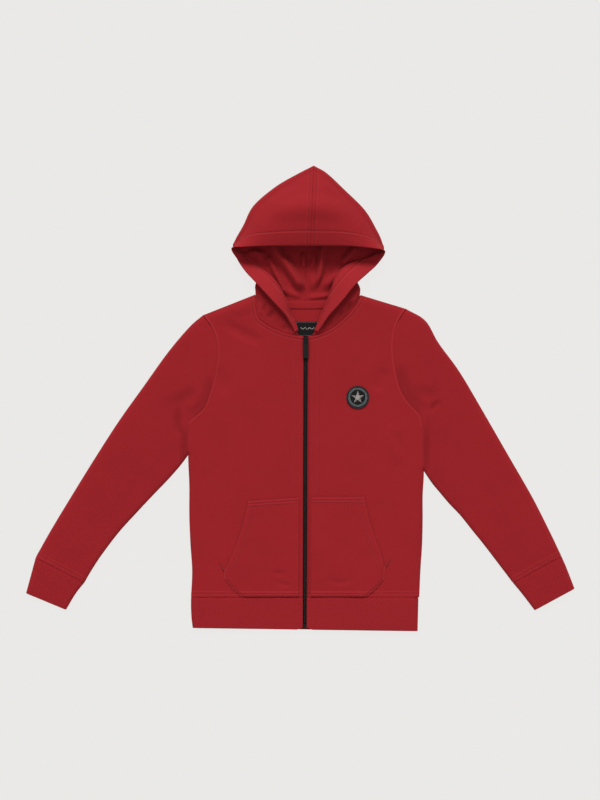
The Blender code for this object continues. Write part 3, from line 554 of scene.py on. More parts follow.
def body_edge(side, start=0):
    """The body's edge as a smooth line, with the corner at the underarm kept."""
    seam = curve(BODY_EDGE[side][: UNDERARM + 1], 60)
    armhole = curve(BODY_EDGE[side][UNDERARM:], 60)
    whole = np.concatenate([seam, armhole[1:]])
    from_here = np.argmin(np.linalg.norm(whole - np.array(BODY_EDGE[side][start], float), axis=1))
    return whole[from_here:]


SIDE_EDGE = {side: curve(BODY_EDGE[side][: UNDERARM + 1], 60) for side in OUTWARD}
ARMHOLE_EDGE = {side: curve(BODY_EDGE[side][UNDERARM:], 60) for side in OUTWARD}
SLEEVE_SEAM = {side: body_edge(side, SLEEVE_FOOT) for side in OUTWARD}
OPEN_SIDE = {side: body_edge(side)[: len(body_edge(side)) - len(SLEEVE_SEAM[side]) + 1] for side in OUTWARD}


def ridge(distance, at, half_width, rise):
    """A soft ridge at a distance from an edge, or a groove where its rise is below 0."""
    away = np.clip(np.abs(distance - at) / half_width, 0, 1)
    return rise * (1 + np.cos(away * math.pi)) / 2


def relief_of(distance, forms):
    """The rise of the rolls and grooves of a seam at distances from it."""
    return sum(ridge(distance, *form) for form in forms)


def front_base(points, side):
    """The middle of a front's wall without its seams."""
    edge = np.minimum(distance_to(points, OPEN_SIDE[side]), distance_to(points, shoulder_line(side)))
    share = np.sin(np.clip(edge / EDGE_ROUND, 0, 1) * math.pi / 2)
    relief = crease_rise(points, FRONT_CREASES) + swell_of(points, FRONT_SWELL)
    return FRONT_EDGE_MID + (FRONT_MID - FRONT_EDGE_MID + relief) * share


def front_height(points, side):
    """The middle of a front's wall, with its seams: armhole, neck, hem and zip."""
    hem = points[..., 1] - HEM_SEAM_Y
    pucker = unevenness(points * (1, 0.2), 16, 8) * 0.35 * near(hem, 26)
    return front_base(points, side) + front_seams(points, side) + pucker


def front_seams(points, side):
    """How far a front's seams lift its cloth, or pull it down."""
    armhole = distance_to(points, ARMHOLE_EDGE[side])
    neck = distance_to(points, curve(FRONT_NECK[side], 40))
    from_zip = np.abs(points[..., 0] - zip_x(points[..., 1])) - ZIP_GAP / 2
    rise = relief_of(armhole, ARMHOLE_FORMS) + relief_of(neck, NECK_FORMS)
    rise += relief_of(from_zip, PLACKET_FORMS)
    rise -= PLACKET_ROLL[side] * near(from_zip, PLACKET_REACH[side])
    return rise + relief_of(points[..., 1] - HEM_SEAM_Y, HEM_FORMS)


# ---------------------------------------------------------------- meshes

# The four rings of a stitch: where they lie along it, how high off the cloth, and how thick as a share
StitchRings = namedtuple("StitchRings", "at rise size")
STITCH_RINGS = StitchRings(np.array((0.0, 0.22, 0.78, 1.0)), (-0.2, 0.14, 0.14, -0.2), (0.35, 1, 1, 0.35))


def mesh_piece(name, vertices, faces, finish, uv=None, body="garment", painted_shading=None):
    """A closed mesh in millimetres that rides on a body, its UV map in metres of cloth.

    Its shading attribute is painted light: above 0 a painted highlight on the crests of seams, below 0
    painted shade deep in them."""
    mesh = bpy.data.meshes.new(name)
    mesh.from_pydata((np.array(vertices, float) * MM).tolist(), [], faces)
    if uv is not None:
        corners = np.empty(len(mesh.loops), np.int32)
        mesh.loops.foreach_get("vertex_index", corners)
        layer = mesh.uv_layers.new(name="UVMap")
        layer.data.foreach_set("uv", (np.array(uv, float)[corners] * MM).astype(np.float32).ravel())
    # Painted highlight and painted shade, kept on the mesh as a point attribute
    if painted_shading is not None:
        painted_light = mesh.attributes.new("painted_shading", "FLOAT", "POINT")
        painted_light.data.foreach_set("value", np.clip(painted_shading, -1, 1).astype(np.float32).ravel())
    turned = bmesh.new()
    turned.from_mesh(mesh)
    bmesh.ops.recalc_face_normals(turned, faces=turned.faces)
    turned.to_mesh(mesh)
    turned.free()
    mesh.materials.append(finish)
    mesh.shade_smooth()
    placed = bpy.data.objects.new(name, mesh)
    bpy.context.scene.collection.objects.link(placed)
    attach(placed, body)
    return placed


def grid_normals(grid):
    normals = np.cross(np.gradient(grid, axis=1), np.gradient(grid, axis=0))
    return normals / np.maximum(np.linalg.norm(normals, axis=-1, keepdims=True), 1e-9)


def grid_uv(grid):
    """Lengths across and up a grid, from its first column and its first row."""
    return np.dstack([reached(grid, 1), reached(grid, 0)])


def border_of(rows, columns):
    """A grid's border as places, and the place inside each."""
    border = [(0, column) for column in range(columns)]
    border += [(row, columns - 1) for row in range(1, rows)]
    border += [(rows - 1, column) for column in range(columns - 2, -1, -1)]
    border += [(row, 0) for row in range(rows - 2, 0, -1)]
    inside = [(min(max(row, 1), rows - 2), min(max(column, 1), columns - 2)) for row, column in border]
    return tuple(np.array(border).T), tuple(np.array(inside).T)


def rounding(edge, beside, wall):
    """How far a wall's faces draw in at its edge, to make it round."""
    out = edge - beside
    step = np.linalg.norm(out, axis=1, keepdims=True)
    return out / np.maximum(step, 1e-9) * np.minimum(WALL_ROUND * wall, STEP_ROUND * step)


def wall_faces(quads, loops):
    """The faces of a wall from those of its one layer, with a rounded edge at each loop of its border."""
    layer = int(quads.max()) + 1
    faces = quads.tolist() + (quads[:, ::-1] + layer).tolist()
    rim = 2 * layer
    for loop in loops:
        for here in range(len(loop)):
            there = (here + 1) % len(loop)
            a, b, c, d = loop[here], loop[there], rim + there, rim + here
            faces += [(a, b, c, d), (d, c, b + layer, a + layer)]
        rim += len(loop)
    return faces


def rod_faces(first, rings, sides):
    """The faces of a rod whose rings of points begin at a place in the list of points."""
    faces = [
        (a, b, b + sides, a + sides)
        for ring in range(first, first + (rings - 1) * sides, sides)
        for a, b in zip(range(ring, ring + sides), [*range(ring + 1, ring + sides), ring])
    ]
    last = first + (rings - 1) * sides
    return faces + [tuple(range(first, first + sides)), tuple(range(last + sides - 1, last - 1, -1))]


def ring_points(centre, side, up, radius, sides):
    turns = np.linspace(0, 2 * math.pi, sides + 1)[:-1]
    return [centre + (side * math.cos(turn) + up * math.sin(turn)) * radius for turn in turns]


def shell(name, grid, wall, finish, normals=None, uv=None, painted_shading=None):
    """A closed wall on a grid of points, its edges rounded, thickened along its normals or upright."""
    grid = np.array(grid, float)
    rows, columns = grid.shape[:2]
    wall = np.zeros((rows, columns, 1)) + (wall if np.ndim(wall) == 0 else wall[..., None])
    across = np.array((0, 0, 1)) if normals is None else normals
    over = grid + across * wall / 2
    under = grid - across * wall / 2
    edge, within = border_of(rows, columns)
    pull = rounding(grid[edge], grid[within], wall[edge])
    over[edge] -= pull
    under[edge] -= pull
    index = np.arange(rows * columns).reshape(rows, columns)
    corners = index[:-1, :-1], index[:-1, 1:], index[1:, 1:], index[1:, :-1]
    quads = np.stack(corners, axis=-1).reshape(-1, 4)
    vertices = np.concatenate([over.reshape(-1, 3), under.reshape(-1, 3), grid[edge]])
    uv = grid_uv(grid) if uv is None else uv
    painted_shading = np.zeros((rows, columns)) if painted_shading is None else painted_shading
    uv, painted_shading = (
        np.concatenate([part.reshape(rows * columns, -1)] * 2 + [part.reshape(rows, columns, -1)[edge]])
        for part in (uv, painted_shading)
    )
    return mesh_piece(name, vertices, wall_faces(quads, [index[edge].tolist()]), finish, uv, painted_shading=painted_shading)


def tube(name, outer, inner, finish, uv, painted_shading):
    """A closed wall round an open tube, its two ends rounded."""
    rows, count = outer.shape[:2]
    outer, inner = outer.copy(), inner.copy()
    rims = (outer[[0, -1]] + inner[[0, -1]]) / 2
    for end, beside in ((0, 1), (-1, -2)):
        wall = np.linalg.norm(outer[end] - inner[end], axis=1, keepdims=True)
        pull = rounding(outer[end], outer[beside], wall)
        outer[end] -= pull
        inner[end] -= pull
    index = np.arange(rows * count).reshape(rows, count)
    after = np.roll(index, -1, axis=1)
    quads = np.stack([index[:-1], after[:-1], after[1:], index[1:]], axis=-1).reshape(-1, 4)
    vertices = np.concatenate([part.reshape(-1, 3) for part in (outer, inner, rims)])
    uv, painted_shading = (
        np.concatenate([part.reshape(rows * count, -1)] * 2 + [part[0], part[-1]])
        for part in (uv, painted_shading[..., None])
    )
    return mesh_piece(name, vertices, wall_faces(quads, index[[0, -1]].tolist()), finish, uv, painted_shading=painted_shading)


def stitches(name, lines, finish, pitch=3.0, share=0.72, thick=0.32, sides=5):
    """Rows of thread stitches as one mesh.  Each line is points and the directions up from the cloth."""
    vertices, faces = [], []
    for points, ups in lines:
        points = np.array(points, float)
        lengths = arc_lengths(points)
        if lengths[-1] < pitch:
            continue
        count = int(lengths[-1] / pitch)
        starts = (np.arange(count) + (1 - share) / 2) * lengths[-1] / count
        step = lengths[-1] / count * share
        for start in starts:
            places = start + STITCH_RINGS.at * step
            middle = np.column_stack([np.interp(places, lengths, axis) for axis in points.T])
            up = np.array([np.interp(start + step / 2, lengths, axis) for axis in np.array(ups, float).T])
            up /= np.linalg.norm(up)
            run = middle[-1] - middle[0]
            run /= np.linalg.norm(run)
            side = np.cross(run, up)
            faces += rod_faces(len(vertices), len(places), sides)
            for centre, rise, size in zip(middle, STITCH_RINGS.rise, STITCH_RINGS.size):
                vertices += ring_points(centre + up * rise, side, up, thick * size, sides)
    return mesh_piece(name, vertices, faces, finish)


# ---------------------------------------------------------------- materials


class Nodes:
    """Short names for the nodes of a material."""

    def __init__(self, name):
        self.material = bpy.data.materials.new(name)
        self.material.use_nodes = True
        self.tree = self.material.node_tree
        self.shader = self.tree.nodes["Principled BSDF"]

    def add(self, kind, **settings):
        node = self.tree.nodes.new(kind)
        for key, value in settings.items():
            setattr(node, key, value)
        return node

    def feed(self, socket, value):
        """Links a node's output to a socket, or sets the socket's own value."""
        if isinstance(value, bpy.types.NodeSocket):
            self.tree.links.new(value, socket)
        else:
            socket.default_value = (*value, 1.0) if isinstance(value, tuple) else value

    def surface(self, **values):
        """Feeds sockets of the shader, named with _ for each space."""
        for name, value in values.items():
            self.feed(self.shader.inputs[name.replace("_", " ")], value)

    def place(self, kind="Object"):
        return self.add("ShaderNodeTexCoord").outputs[kind]

    def parts(self, vector):
        node = self.add("ShaderNodeSeparateXYZ")
        self.feed(node.inputs[0], vector)
        return node.outputs

    def math(self, operation, *values, use_clamp=False):
        node = self.add("ShaderNodeMath", operation=operation, use_clamp=use_clamp)
        for socket, value in zip(node.inputs, values):
            self.feed(socket, value)
        return node.outputs[0]

    def times(self, first, second, use_clamp=False):
        return self.math("MULTIPLY", first, second, use_clamp=use_clamp)

    def plus(self, first, second):
        return self.math("ADD", first, second)

    def noise(self, vector, scale, detail=2.0, rough=0.5):
        node = self.add("ShaderNodeTexNoise")
        for name, value in (("Scale", scale), ("Detail", detail), ("Roughness", rough), ("Vector", vector)):
            self.feed(node.inputs[name], value)
        return node.outputs["Fac"]

    def mix(self, factor, first, second):
        node = self.add("ShaderNodeMix", data_type="RGBA")
        for name, value in (("Factor", factor), (6, first), (7, second)):
            self.feed(node.inputs[name], value)
        return node.outputs[2]

    def bump(self, height, distance):
        node = self.add("ShaderNodeBump")
        for name, value in (("Distance", distance), ("Height", height)):
            self.feed(node.inputs[name], value)
        self.surface(Normal=node.outputs["Normal"])


PAINTED_HIGHLIGHT, PAINTED_SHADE = 0.35, 0.55  # how strong the painted highlight on crests and the painted shade in grooves are


def scaled(colour, factor, added):
    return tuple(part * factor + added for part in colour)


def knit_height(nodes, uv, wale, course):
    """Columns of V shaped loops, from a UV map in metres."""
    across, up, _ = nodes.parts(uv)
    half_turn = nodes.times(nodes.times(across, 2 * math.pi / wale), 0.5)
    column = nodes.math("ABSOLUTE", nodes.math("SINE", half_turn))
    lean = nodes.times(nodes.math("ABSOLUTE", nodes.math("COSINE", half_turn)), 1.6)
    row = nodes.math("SINE", nodes.plus(nodes.times(up, 2 * math.pi / course), lean))
    return nodes.plus(nodes.times(column, 0.6), nodes.times(row, 0.3))


def cloth_material(name, colour, deep, wale=0.0011, course=0.0009, relief=0.00012, fuzz=0.35):
    """A brushed knit with a painted highlight where its shading attribute is above 0, and painted shade where
    it is below.
    """
    nodes = Nodes(name)
    broad = nodes.noise(nodes.place(), 9.0, 3.0, 0.55)
    fine = nodes.noise(nodes.place(), 420.0, 3.0, 0.6)
    knit = knit_height(nodes, nodes.place("UV"), wale, course)
    tone = nodes.plus(nodes.times(broad, 0.6), nodes.times(fine, 0.4))
    painted_shading = nodes.add("ShaderNodeAttribute", attribute_name="painted_shading").outputs["Fac"]
    even = nodes.mix(tone, deep, colour)
    # Painted highlight towards a paler colour, then painted shade towards a darker one
    painted_light = nodes.mix(nodes.times(painted_shading, PAINTED_HIGHLIGHT, use_clamp=True), even, scaled(colour, 1.6, 0.02))
    painted_shade = nodes.mix(nodes.times(painted_shading, -PAINTED_SHADE, use_clamp=True), painted_light, scaled(deep, 0.3, 0))
    nodes.surface(
        Base_Color=painted_shade, Roughness=nodes.plus(nodes.times(fine, 0.12), 0.8), Specular_IOR_Level=0.15,
        Sheen_Weight=0.1, Sheen_Roughness=0.45, Sheen_Tint=(1.0, 0.55, 0.5),
    )
    nodes.bump(nodes.plus(knit, nodes.times(fine, fuzz)), relief)
    return nodes.material


def thread_material(name, colour, deep):
    nodes = Nodes(name)
    twist = nodes.add("ShaderNodeTexWave", wave_type="BANDS", bands_direction="DIAGONAL")
    for socket, value in (("Scale", 900.0), ("Distortion", 1.0), ("Vector", nodes.place())):
        nodes.feed(twist.inputs[socket], value)
    nodes.surface(Base_Color=nodes.mix(twist.outputs["Fac"], deep, colour), Roughness=0.55)
    nodes.bump(twist.outputs["Fac"], 0.00008)
    return nodes.material


def woven_material(name, colour, light, pitch=0.0006):
    nodes = Nodes(name)
    x, y, _ = nodes.parts(nodes.place())
    across, up = (nodes.math("SINE", nodes.times(axis, 2 * math.pi / pitch)) for axis in (x, y))
    weave = nodes.plus(nodes.times(nodes.times(across, up), 0.5), 0.5)
    fine = nodes.noise(nodes.place(), 600.0)
    tone = nodes.plus(nodes.times(weave, 0.6), nodes.times(fine, 0.4))
    nodes.surface(Base_Color=nodes.mix(tone, colour, light), Roughness=0.8, Specular_IOR_Level=0.12)
    nodes.bump(weave, 0.00012)
    return nodes.material


def moulded_material(name, colour, light, rough):
    nodes = Nodes(name)
    fine = nodes.noise(nodes.place(), 900.0, 4.0, 0.6)
    broad = nodes.noise(nodes.place(), 120.0, 2.0, 0.5)
    nodes.surface(
        Base_Color=nodes.mix(broad, colour, light), Roughness=nodes.plus(nodes.times(fine, 0.2), rough),
        Specular_IOR_Level=0.25,
    )
    nodes.bump(fine, 0.00004)
    return nodes.material


# ---------------------------------------------------------------- cloth pieces


def shares_between(values):
    values = np.array(values, float)
    return (values - values[0]) / (values[-1] - values[0])


def front_plan(side):
    """The plan of a front: hem seam, shoulder and neck, side seam and armhole, zip."""
    shoulder, neck = np.array(shoulder_line(side), float), curve(FRONT_NECK[side], 300)
    outer = np.concatenate([SIDE_EDGE[side], ARMHOLE_EDGE[side][1:]])
    shoulder = along(shoulder, graded(arc_lengths(shoulder)[-1], "shoulder"))
    neck = along(neck, graded(arc_lengths(neck)[-1], "neck"))
    underarm_share = shares_between(outer[:, 1])[len(SIDE_EDGE[side]) - 1]
    up = graded(outer[-1, 1] - outer[0, 1], "body", [underarm_share])
    top, outer = np.concatenate([shoulder, neck[1:]]), at_shares(outer, 1, up)
    across = shares_between(top[:, 0])
    heights = HEM_SEAM_Y + (ZIP_TOP - HEM_SEAM_Y) * up
    inner = np.column_stack([zip_x(heights) + ZIP_GAP / 2 * OUTWARD[side], heights])
    inner[-1] = top[-1]
    return coons(along([outer[0], inner[0]], across), top, outer, inner, across, up)


def build_front(side, finish):
    plan = front_plan(side)
    grid = np.dstack([plan, front_height(plan, side)])
    # The seams' rises also paint a highlight on crests and shade in grooves and beside the zip
    painted_shading = front_seams(plan, side)
    return shell(f"shell_front_{side}", grid, WALL, finish, uv=plan, painted_shading=painted_shading), grid


def build_back(finish):
    right = along(shoulder_line("right"), 24)[:-1]
    left = along(shoulder_line("left")[::-1], 24)[1:]
    top = np.concatenate([right, fair(BACK_NECK, 40), left])
    across = shares_between(top[:, 0])
    edges = []
    for side in ("right", "left"):
        edges.append(np.concatenate([along(SIDE_EDGE[side], 70), along(ARMHOLE_EDGE[side], 50)[1:]]))
    up = shares_between((edges[0] + edges[1])[:, 1])
    plan = coons(along([edges[0][0], edges[1][0]], across), top, *edges, across, up)
    grid = np.dstack([plan, np.full(plan.shape[:2], FLOOR_MID)])
    return shell("shell_back", grid, WALL, finish, uv=plan), grid


def fold_profile(inset, soft):
    """A folded edge at an inset from its outer face: how far in from the outline, and how high."""
    low = BODY_TOP / 2
    profile = []
    for turn in np.radians((-90, -68, -45, -22, 0, 15, 30, 45, 60, 75, 90)):
        reach = low if turn <= 0 else soft
        profile.append((reach - (reach - inset) * math.cos(turn), low + (low - inset) * math.sin(turn)))
    return profile


def flat_loop(line, inset):
    """A flattened tube's section over a plan line, with how far across it each point is."""
    lengths = arc_lengths(line)
    total = lengths[-1]
    fold = fold_profile(inset, min(EDGE_ROUND, total * FOLD_SHARE))
    section = [(length, inset) for length in lengths[1:-1]]
    section += [(total - reach, height) for reach, height in fold]
    section += [(length, BODY_TOP - inset) for length in lengths[-2:0:-1]]
    section += reversed(fold)
    plan = along(line, [across / total for across, _ in section])
    loop = np.array([(x, y, height) for (x, y), (_, height) in zip(plan, section)])
    return loop, np.array([across for across, _ in section])


def moved_out(line, gap, ways):
    """A plan line moved sideways by a gap, to the side that one direction or one for each point shows."""
    line = np.array(line, float)
    runs = np.gradient(line, axis=0)
    sideways = np.column_stack([runs[:, 1], -runs[:, 0]]) / np.linalg.norm(runs, axis=1)[:, None]
    return line + sideways * np.sign((sideways * ways).sum(axis=1))[:, None] * gap


def in_front(grid):
    """How far each point of a flattened tube is in its front layer: 1 on top, 0 from its fold down."""
    return np.clip((grid[..., 2] - BODY_TOP / 2) / (BODY_TOP / 2 - WALL), 0, 1)


def sleeve_lines(side, shares):
    """The sleeve's sections as plan lines, at shares of the way from the armhole to the cuff seam."""
    armhole = body_edge(side, SLEEVE_FOOT)[::-1]
    places = np.concatenate([[0], np.linspace(0.1, 0.9, 56), [1]])
    first = along(moved_out(armhole, SEAM + 0.1, (OUTWARD[side], 0)), places)
    bend = first - along([first[0], first[-1]], places)
    rows = [(*first[0], *first[-1])] + [tuple(row) for row in SLEEVE[side]]
    rows = curve(rows, 2, knots=range(len(rows)), shares=shares)
    lines = []
    for down, (upper_x, upper_y, lower_x, lower_y) in zip(shares, rows):
        chord = along([(upper_x, upper_y), (lower_x, lower_y)], places)
        lines.append(chord + bend * (1 - down) ** ARMHOLE_EASE)
    return lines


def flat_tube(lines, wall):
    """The faces of a flattened tube over plan lines, outer and inner, and how far across each point is."""
    outer, reach = zip(*(flat_loop(line, 0.0) for line in lines))
    return np.array(outer), np.array([flat_loop(line, wall)[0] for line in lines]), np.array(reach)


def build_sleeve(side, finish):
    outer, inner, across = flat_tube(sleeve_lines(side, graded(SLEEVE_LENGTH, "sleeve")), WALL)
    plan = outer[..., :2]
    armhole = distance_to(plan, SLEEVE_SEAM[side])
    row = SLEEVE[side][-1]
    cuff = distance_to(plan, [row[:2], row[2:]])
    folds = crease_rise(plan, SLEEVE_CREASES[side])
    rise = folds + swell_of(plan, SLEEVE_SWELL)
    rise *= smooth_step(armhole / 14) * smooth_step(cuff / 10)
    rise -= 0.5 * near(armhole, 5)
    rise += unevenness(plan, 13, 23) * 0.3 * near(cuff, 22)
    seams = SLEEVE_SEAM_SHARE * relief_of(cuff, HEM_FORMS)
    outer[..., 2] += (rise + seams) * in_front(outer)
    inner[..., 2] += rise * in_front(outer)
    # Painted highlight on the cuff seam's crests and along the armhole, painted shade in the folds
    painted_shading = seams + ridge(armhole, 0.6, 1.6, 0.2) + FOLD_PAINTED_SHADE * folds
    uv = np.dstack([across, reached(plan, 0)])
    return tube(f"shell_sleeve_{side}", outer, inner, finish, uv, painted_shading), outer


def ribs_at(phase, from_seam, length):
    """Rounded ribs with narrower furrows, which fade out at the seam and at the folded edge."""
    wave = np.abs(np.sin(phase / 2)) ** 0.7 - 0.5
    return wave * RIB_DEPTH * smooth_step(from_seam / RIB_START) * smooth_step((length - from_seam) / RIB_END)


def build_cuff(side, finish):
    first = CUFF[side][0]
    width = math.dist(first[:2], first[2:])
    count = round(width / RIB_PITCH)
    shares = np.linspace(0, 1, count * RIB_POINTS + 1)
    shares = np.concatenate([[0], shares[(shares > 0.1) & (shares < 0.9)], [1]])
    downs = graded(CUFF_LENGTH, "rib")
    lines = [along([row[:2], row[2:]], shares) for row in curve(CUFF[side], 2, shares=downs)]
    lines[0] = moved_out(lines[0], SEAM, (OUTWARD[side], -1))
    outer, inner, across = flat_tube(lines, RIB_WALL)
    across = across / np.max(across, axis=1, keepdims=True) * width
    phase = across / width * count * 2 * math.pi
    from_seam = downs[:, None] * CUFF_LENGTH
    ribs = ribs_at(phase, from_seam, CUFF_LENGTH)
    face = np.where(outer[..., 2] > BODY_TOP / 2, 1, 0)
    bottom = np.where(outer[..., 2] < 0.01, 1, 0)
    outer[..., 2] += face * (ribs - RIB_PRESS * near(from_seam, RIB_PRESS_REACH))
    outer[..., 2] += bottom * 0.06 * (1 - np.cos(phase))
    # Painted highlight on the ribs, painted shade in their furrows and by the seam
    painted_shading = face * (ribs * RIB_PAINTED_LIGHT - 0.1 * near(from_seam, SEAM_PAINT_REACH))
    uv = np.dstack([across, reached(outer, 0)])
    return tube(f"shell_cuff_{side}", outer, inner, finish, uv, painted_shading), outer


def hem_height(x, share, in_front_layer):
    from_right = (x - HEM[-1].right_x) / (HEM[-1].left_x - HEM[-1].right_x)
    bottom = HEM_Y_RIGHT + (HEM_Y_LEFT - HEM_Y_RIGHT) * from_right
    if in_front_layer:
        from_zip = abs(x - ZIP_X_BOTTOM) - ZIP_GAP / 2
        bottom += HEM_NOTCH * max(0, 1 - from_zip / HEM_NOTCH_WIDTH)
    return HEM_SEAM_Y - SEAM + (bottom - HEM_SEAM_Y + SEAM) * share


def hem_section(row, inset):
    """The hem at one height: the right front, its fold, the back, the left fold, the left front."""
    middle = float(zip_x(HEM_SEAM_Y + (HEM_Y_RIGHT - HEM_SEAM_Y) * row.share))
    sides = {}
    for side, outline in (("right", row.right_x), ("left", row.left_x)):
        way = OUTWARD[side]
        edge = middle + way * ZIP_GAP / 2
        reach = outline - way * EDGE_ROUND - edge
        count = round(abs(reach) / RIB_PITCH * RIB_POINTS)
        front = [edge + reach * share for share in np.linspace(0, 1, count, endpoint=False)]
        fold = [(outline - way * inward, height, False) for inward, height in fold_profile(inset, EDGE_ROUND)]
        sides[side] = [(x, BODY_TOP - inset, True) for x in front] + fold[::-1]
    count = round((row.left_x - row.right_x) / RIB_PITCH * RIB_POINTS)
    flat = np.linspace(row.right_x + EDGE_ROUND, row.left_x - EDGE_ROUND, count)
    section = sides["right"] + [(x, inset, False) for x in flat] + sides["left"][::-1]
    return [(x, hem_height(x, row.share, front), height) for x, height, front in section]


def build_hem(finish):
    top = HEM[0]
    downs = graded(HEM_LENGTH, "rib")
    rows = [HemRow(*row) for row in curve(HEM, 2, [row.share for row in HEM], downs)]
    outer, inner = (
        np.array([hem_section(HemRow(row.share, top.right_x, top.left_x), inset) for row in rows])
        for inset in (0.0, RIB_WALL)
    )
    for part in (outer, inner):
        for row, points in zip(rows, part):
            from_zip = points[:, 0] - ZIP_X_BOTTOM
            left, right = ((row[end] - ZIP_X_BOTTOM) / (top[end] - ZIP_X_BOTTOM) for end in (2, 1))
            points[:, 0] = ZIP_X_BOTTOM + from_zip * np.where(from_zip > 0, left, right)
    lengths = arc_lengths(outer[0])
    from_seam = downs[:, None] * HEM_LENGTH
    ribs = ribs_at(lengths / RIB_PITCH * 2 * math.pi, from_seam, HEM_LENGTH)
    front = np.clip((outer[..., 2] - BODY_TOP / 2) / (BODY_TOP / 2), 0, 1)
    wave = unevenness(outer[..., :2], 90, 31) * 0.35
    outer[..., 2] += front * (ribs + wave - RIB_PRESS * near(from_seam, RIB_PRESS_REACH))
    inner[..., 2] += front * wave
    # Painted highlight on the ribs, painted shade in their furrows and by the seam; the front layer is a
    # little paler all over
    painted_shading = front * (0.06 + ribs * RIB_PAINTED_LIGHT - 0.12 * near(from_seam, SEAM_PAINT_REACH))
    uv = np.dstack([np.zeros(outer.shape[:2]) + lengths, reached(outer, 0)])
    grid, way = (outer + inner) / 2, outer - inner
    wall = np.linalg.norm(way, axis=-1)
    return shell("shell_hem_band", grid, wall, finish, way / wall[..., None], uv, painted_shading), grid


def pocket_inner(side, y):
    return float(zip_x(y)) + OUTWARD[side] * POCKET_FROM_ZIP, y


def pocket_plan(side):
    """Rows of plan points from the pocket's inner edge at the zip to its outer edge."""
    outline = np.array(POCKET[side], float)
    knots = arc_lengths(outline[:, :2])
    wanted = graded(knots[-1], "pocket_up", knots[1:-1] / knots[-1]) * knots[-1]
    rows = np.column_stack([np.interp(wanted, knots, column) for column in outline.T])
    shares = graded(POCKET_WIDTH, "pocket_across")
    return np.array([along([pocket_inner(side, inner_y), (x, y)], shares) for x, y, inner_y in rows])


def pocket_edges(side):
    """The pocket's outline from the hem seam: its low edge, its slanted opening, its top edge."""
    outline = np.array(POCKET[side], float)[:, :2]
    return outline[:4], outline[3:], np.array([outline[-1], pocket_inner(side, POCKET[side][-1].inner_y)])


def pocket_seams(points, side):
    """How far a pocket's folded edges and stitches lift its cloth, or pull it down."""
    low, opening, top = (distance_to(points, edge) for edge in pocket_edges(side))
    rise = ridge(opening, 3.2, 2.8, 0.2) + relief_of(opening, OPENING_FORMS)
    rise += relief_of(top, TOP_FORMS) + relief_of(low, LOW_FORMS)
    rise -= 0.7 * near(opening, 1.9) + 0.8 * near(top, 1.8) + LOW_PRESS * near(low, LOW_REACH)
    return rise + relief_of(points[..., 1] - HEM_SEAM_Y, HEM_FORMS)


def pocket_height(points, side):
    swell = crease_rise(points, POCKET_CREASES) + 0.35 * unevenness(points, 60, 41 + OUTWARD[side])
    return front_base(points, side) + WALL + SEAM + 0.4 + pocket_seams(points, side) + swell


def build_pocket(side, finish):
    plan = pocket_plan(side)
    from_low = distance_to(plan, pocket_edges(side)[0])
    from_hem = plan[..., 1] - HEM_SEAM_Y
    grid = np.dstack([plan, pocket_height(plan, side) - LOW_PRESS * near(from_hem, 5)])
    # Painted highlight on seam crests and along the pressed low edge and the hem, painted shade in the
    # grooves
    painted_shading = pocket_seams(plan, side) + relief_of(from_hem, HEM_FORMS)
    painted_shading += (LOW_PRESS + 0.2) * near(from_low, LOW_REACH)
    painted_shading += 0.9 * near(np.minimum(from_low, from_hem), SEAM_PAINT_REACH)
    pressed = np.minimum(smooth_step(from_low / LOW_REACH), smooth_step(from_hem / 5))
    wall = LOW_WALL + (WALL - LOW_WALL) * pressed
    return shell(f"shell_pocket_{side}", grid, wall, finish, uv=plan, painted_shading=painted_shading), grid


def build_neck_tape(finish):
    shares = np.linspace(0, 1, 9)
    seam = fair(BACK_NECK[2:-2], 50)
    plan = np.array([seam - (0, NECK_TAPE_DROP + NECK_TAPE_WIDTH * share) for share in shares])
    height = WALL + SEAM + NECK_TAPE_WALL / 2 + 0.25 * np.sin(shares * math.pi)[:, None]
    grid = np.dstack([plan, height + np.zeros(plan.shape[:2])])
    return shell("shell_neck_tape", grid, NECK_TAPE_WALL, finish), grid


def face_shares(length):
    """Shares of the way from the face edge to the roll, close together at the hem's stitches."""
    places = np.linspace(0, length, 600)
    density = 1 + HEM_CLOSENESS * (1 + np.cos(np.clip(np.abs(places - HOOD_HEM) / 9, 0, 1) * math.pi)) / 2
    counted = np.concatenate([[0], np.cumsum(density[1:])])
    return np.interp(np.linspace(0, counted[-1], HOOD_SPANS.face + 1), counted, places) / length


def hood_places():
    """Where the sections lie along the hood's table: closer together by the centre seam."""
    last = len(HOOD["left"]) - 1
    even = np.arange((last - 1) * HOOD_STEPS) / HOOD_STEPS
    return np.concatenate([even, last - (1 - np.linspace(0, 1, CENTRE_STEPS)) ** 1.7])


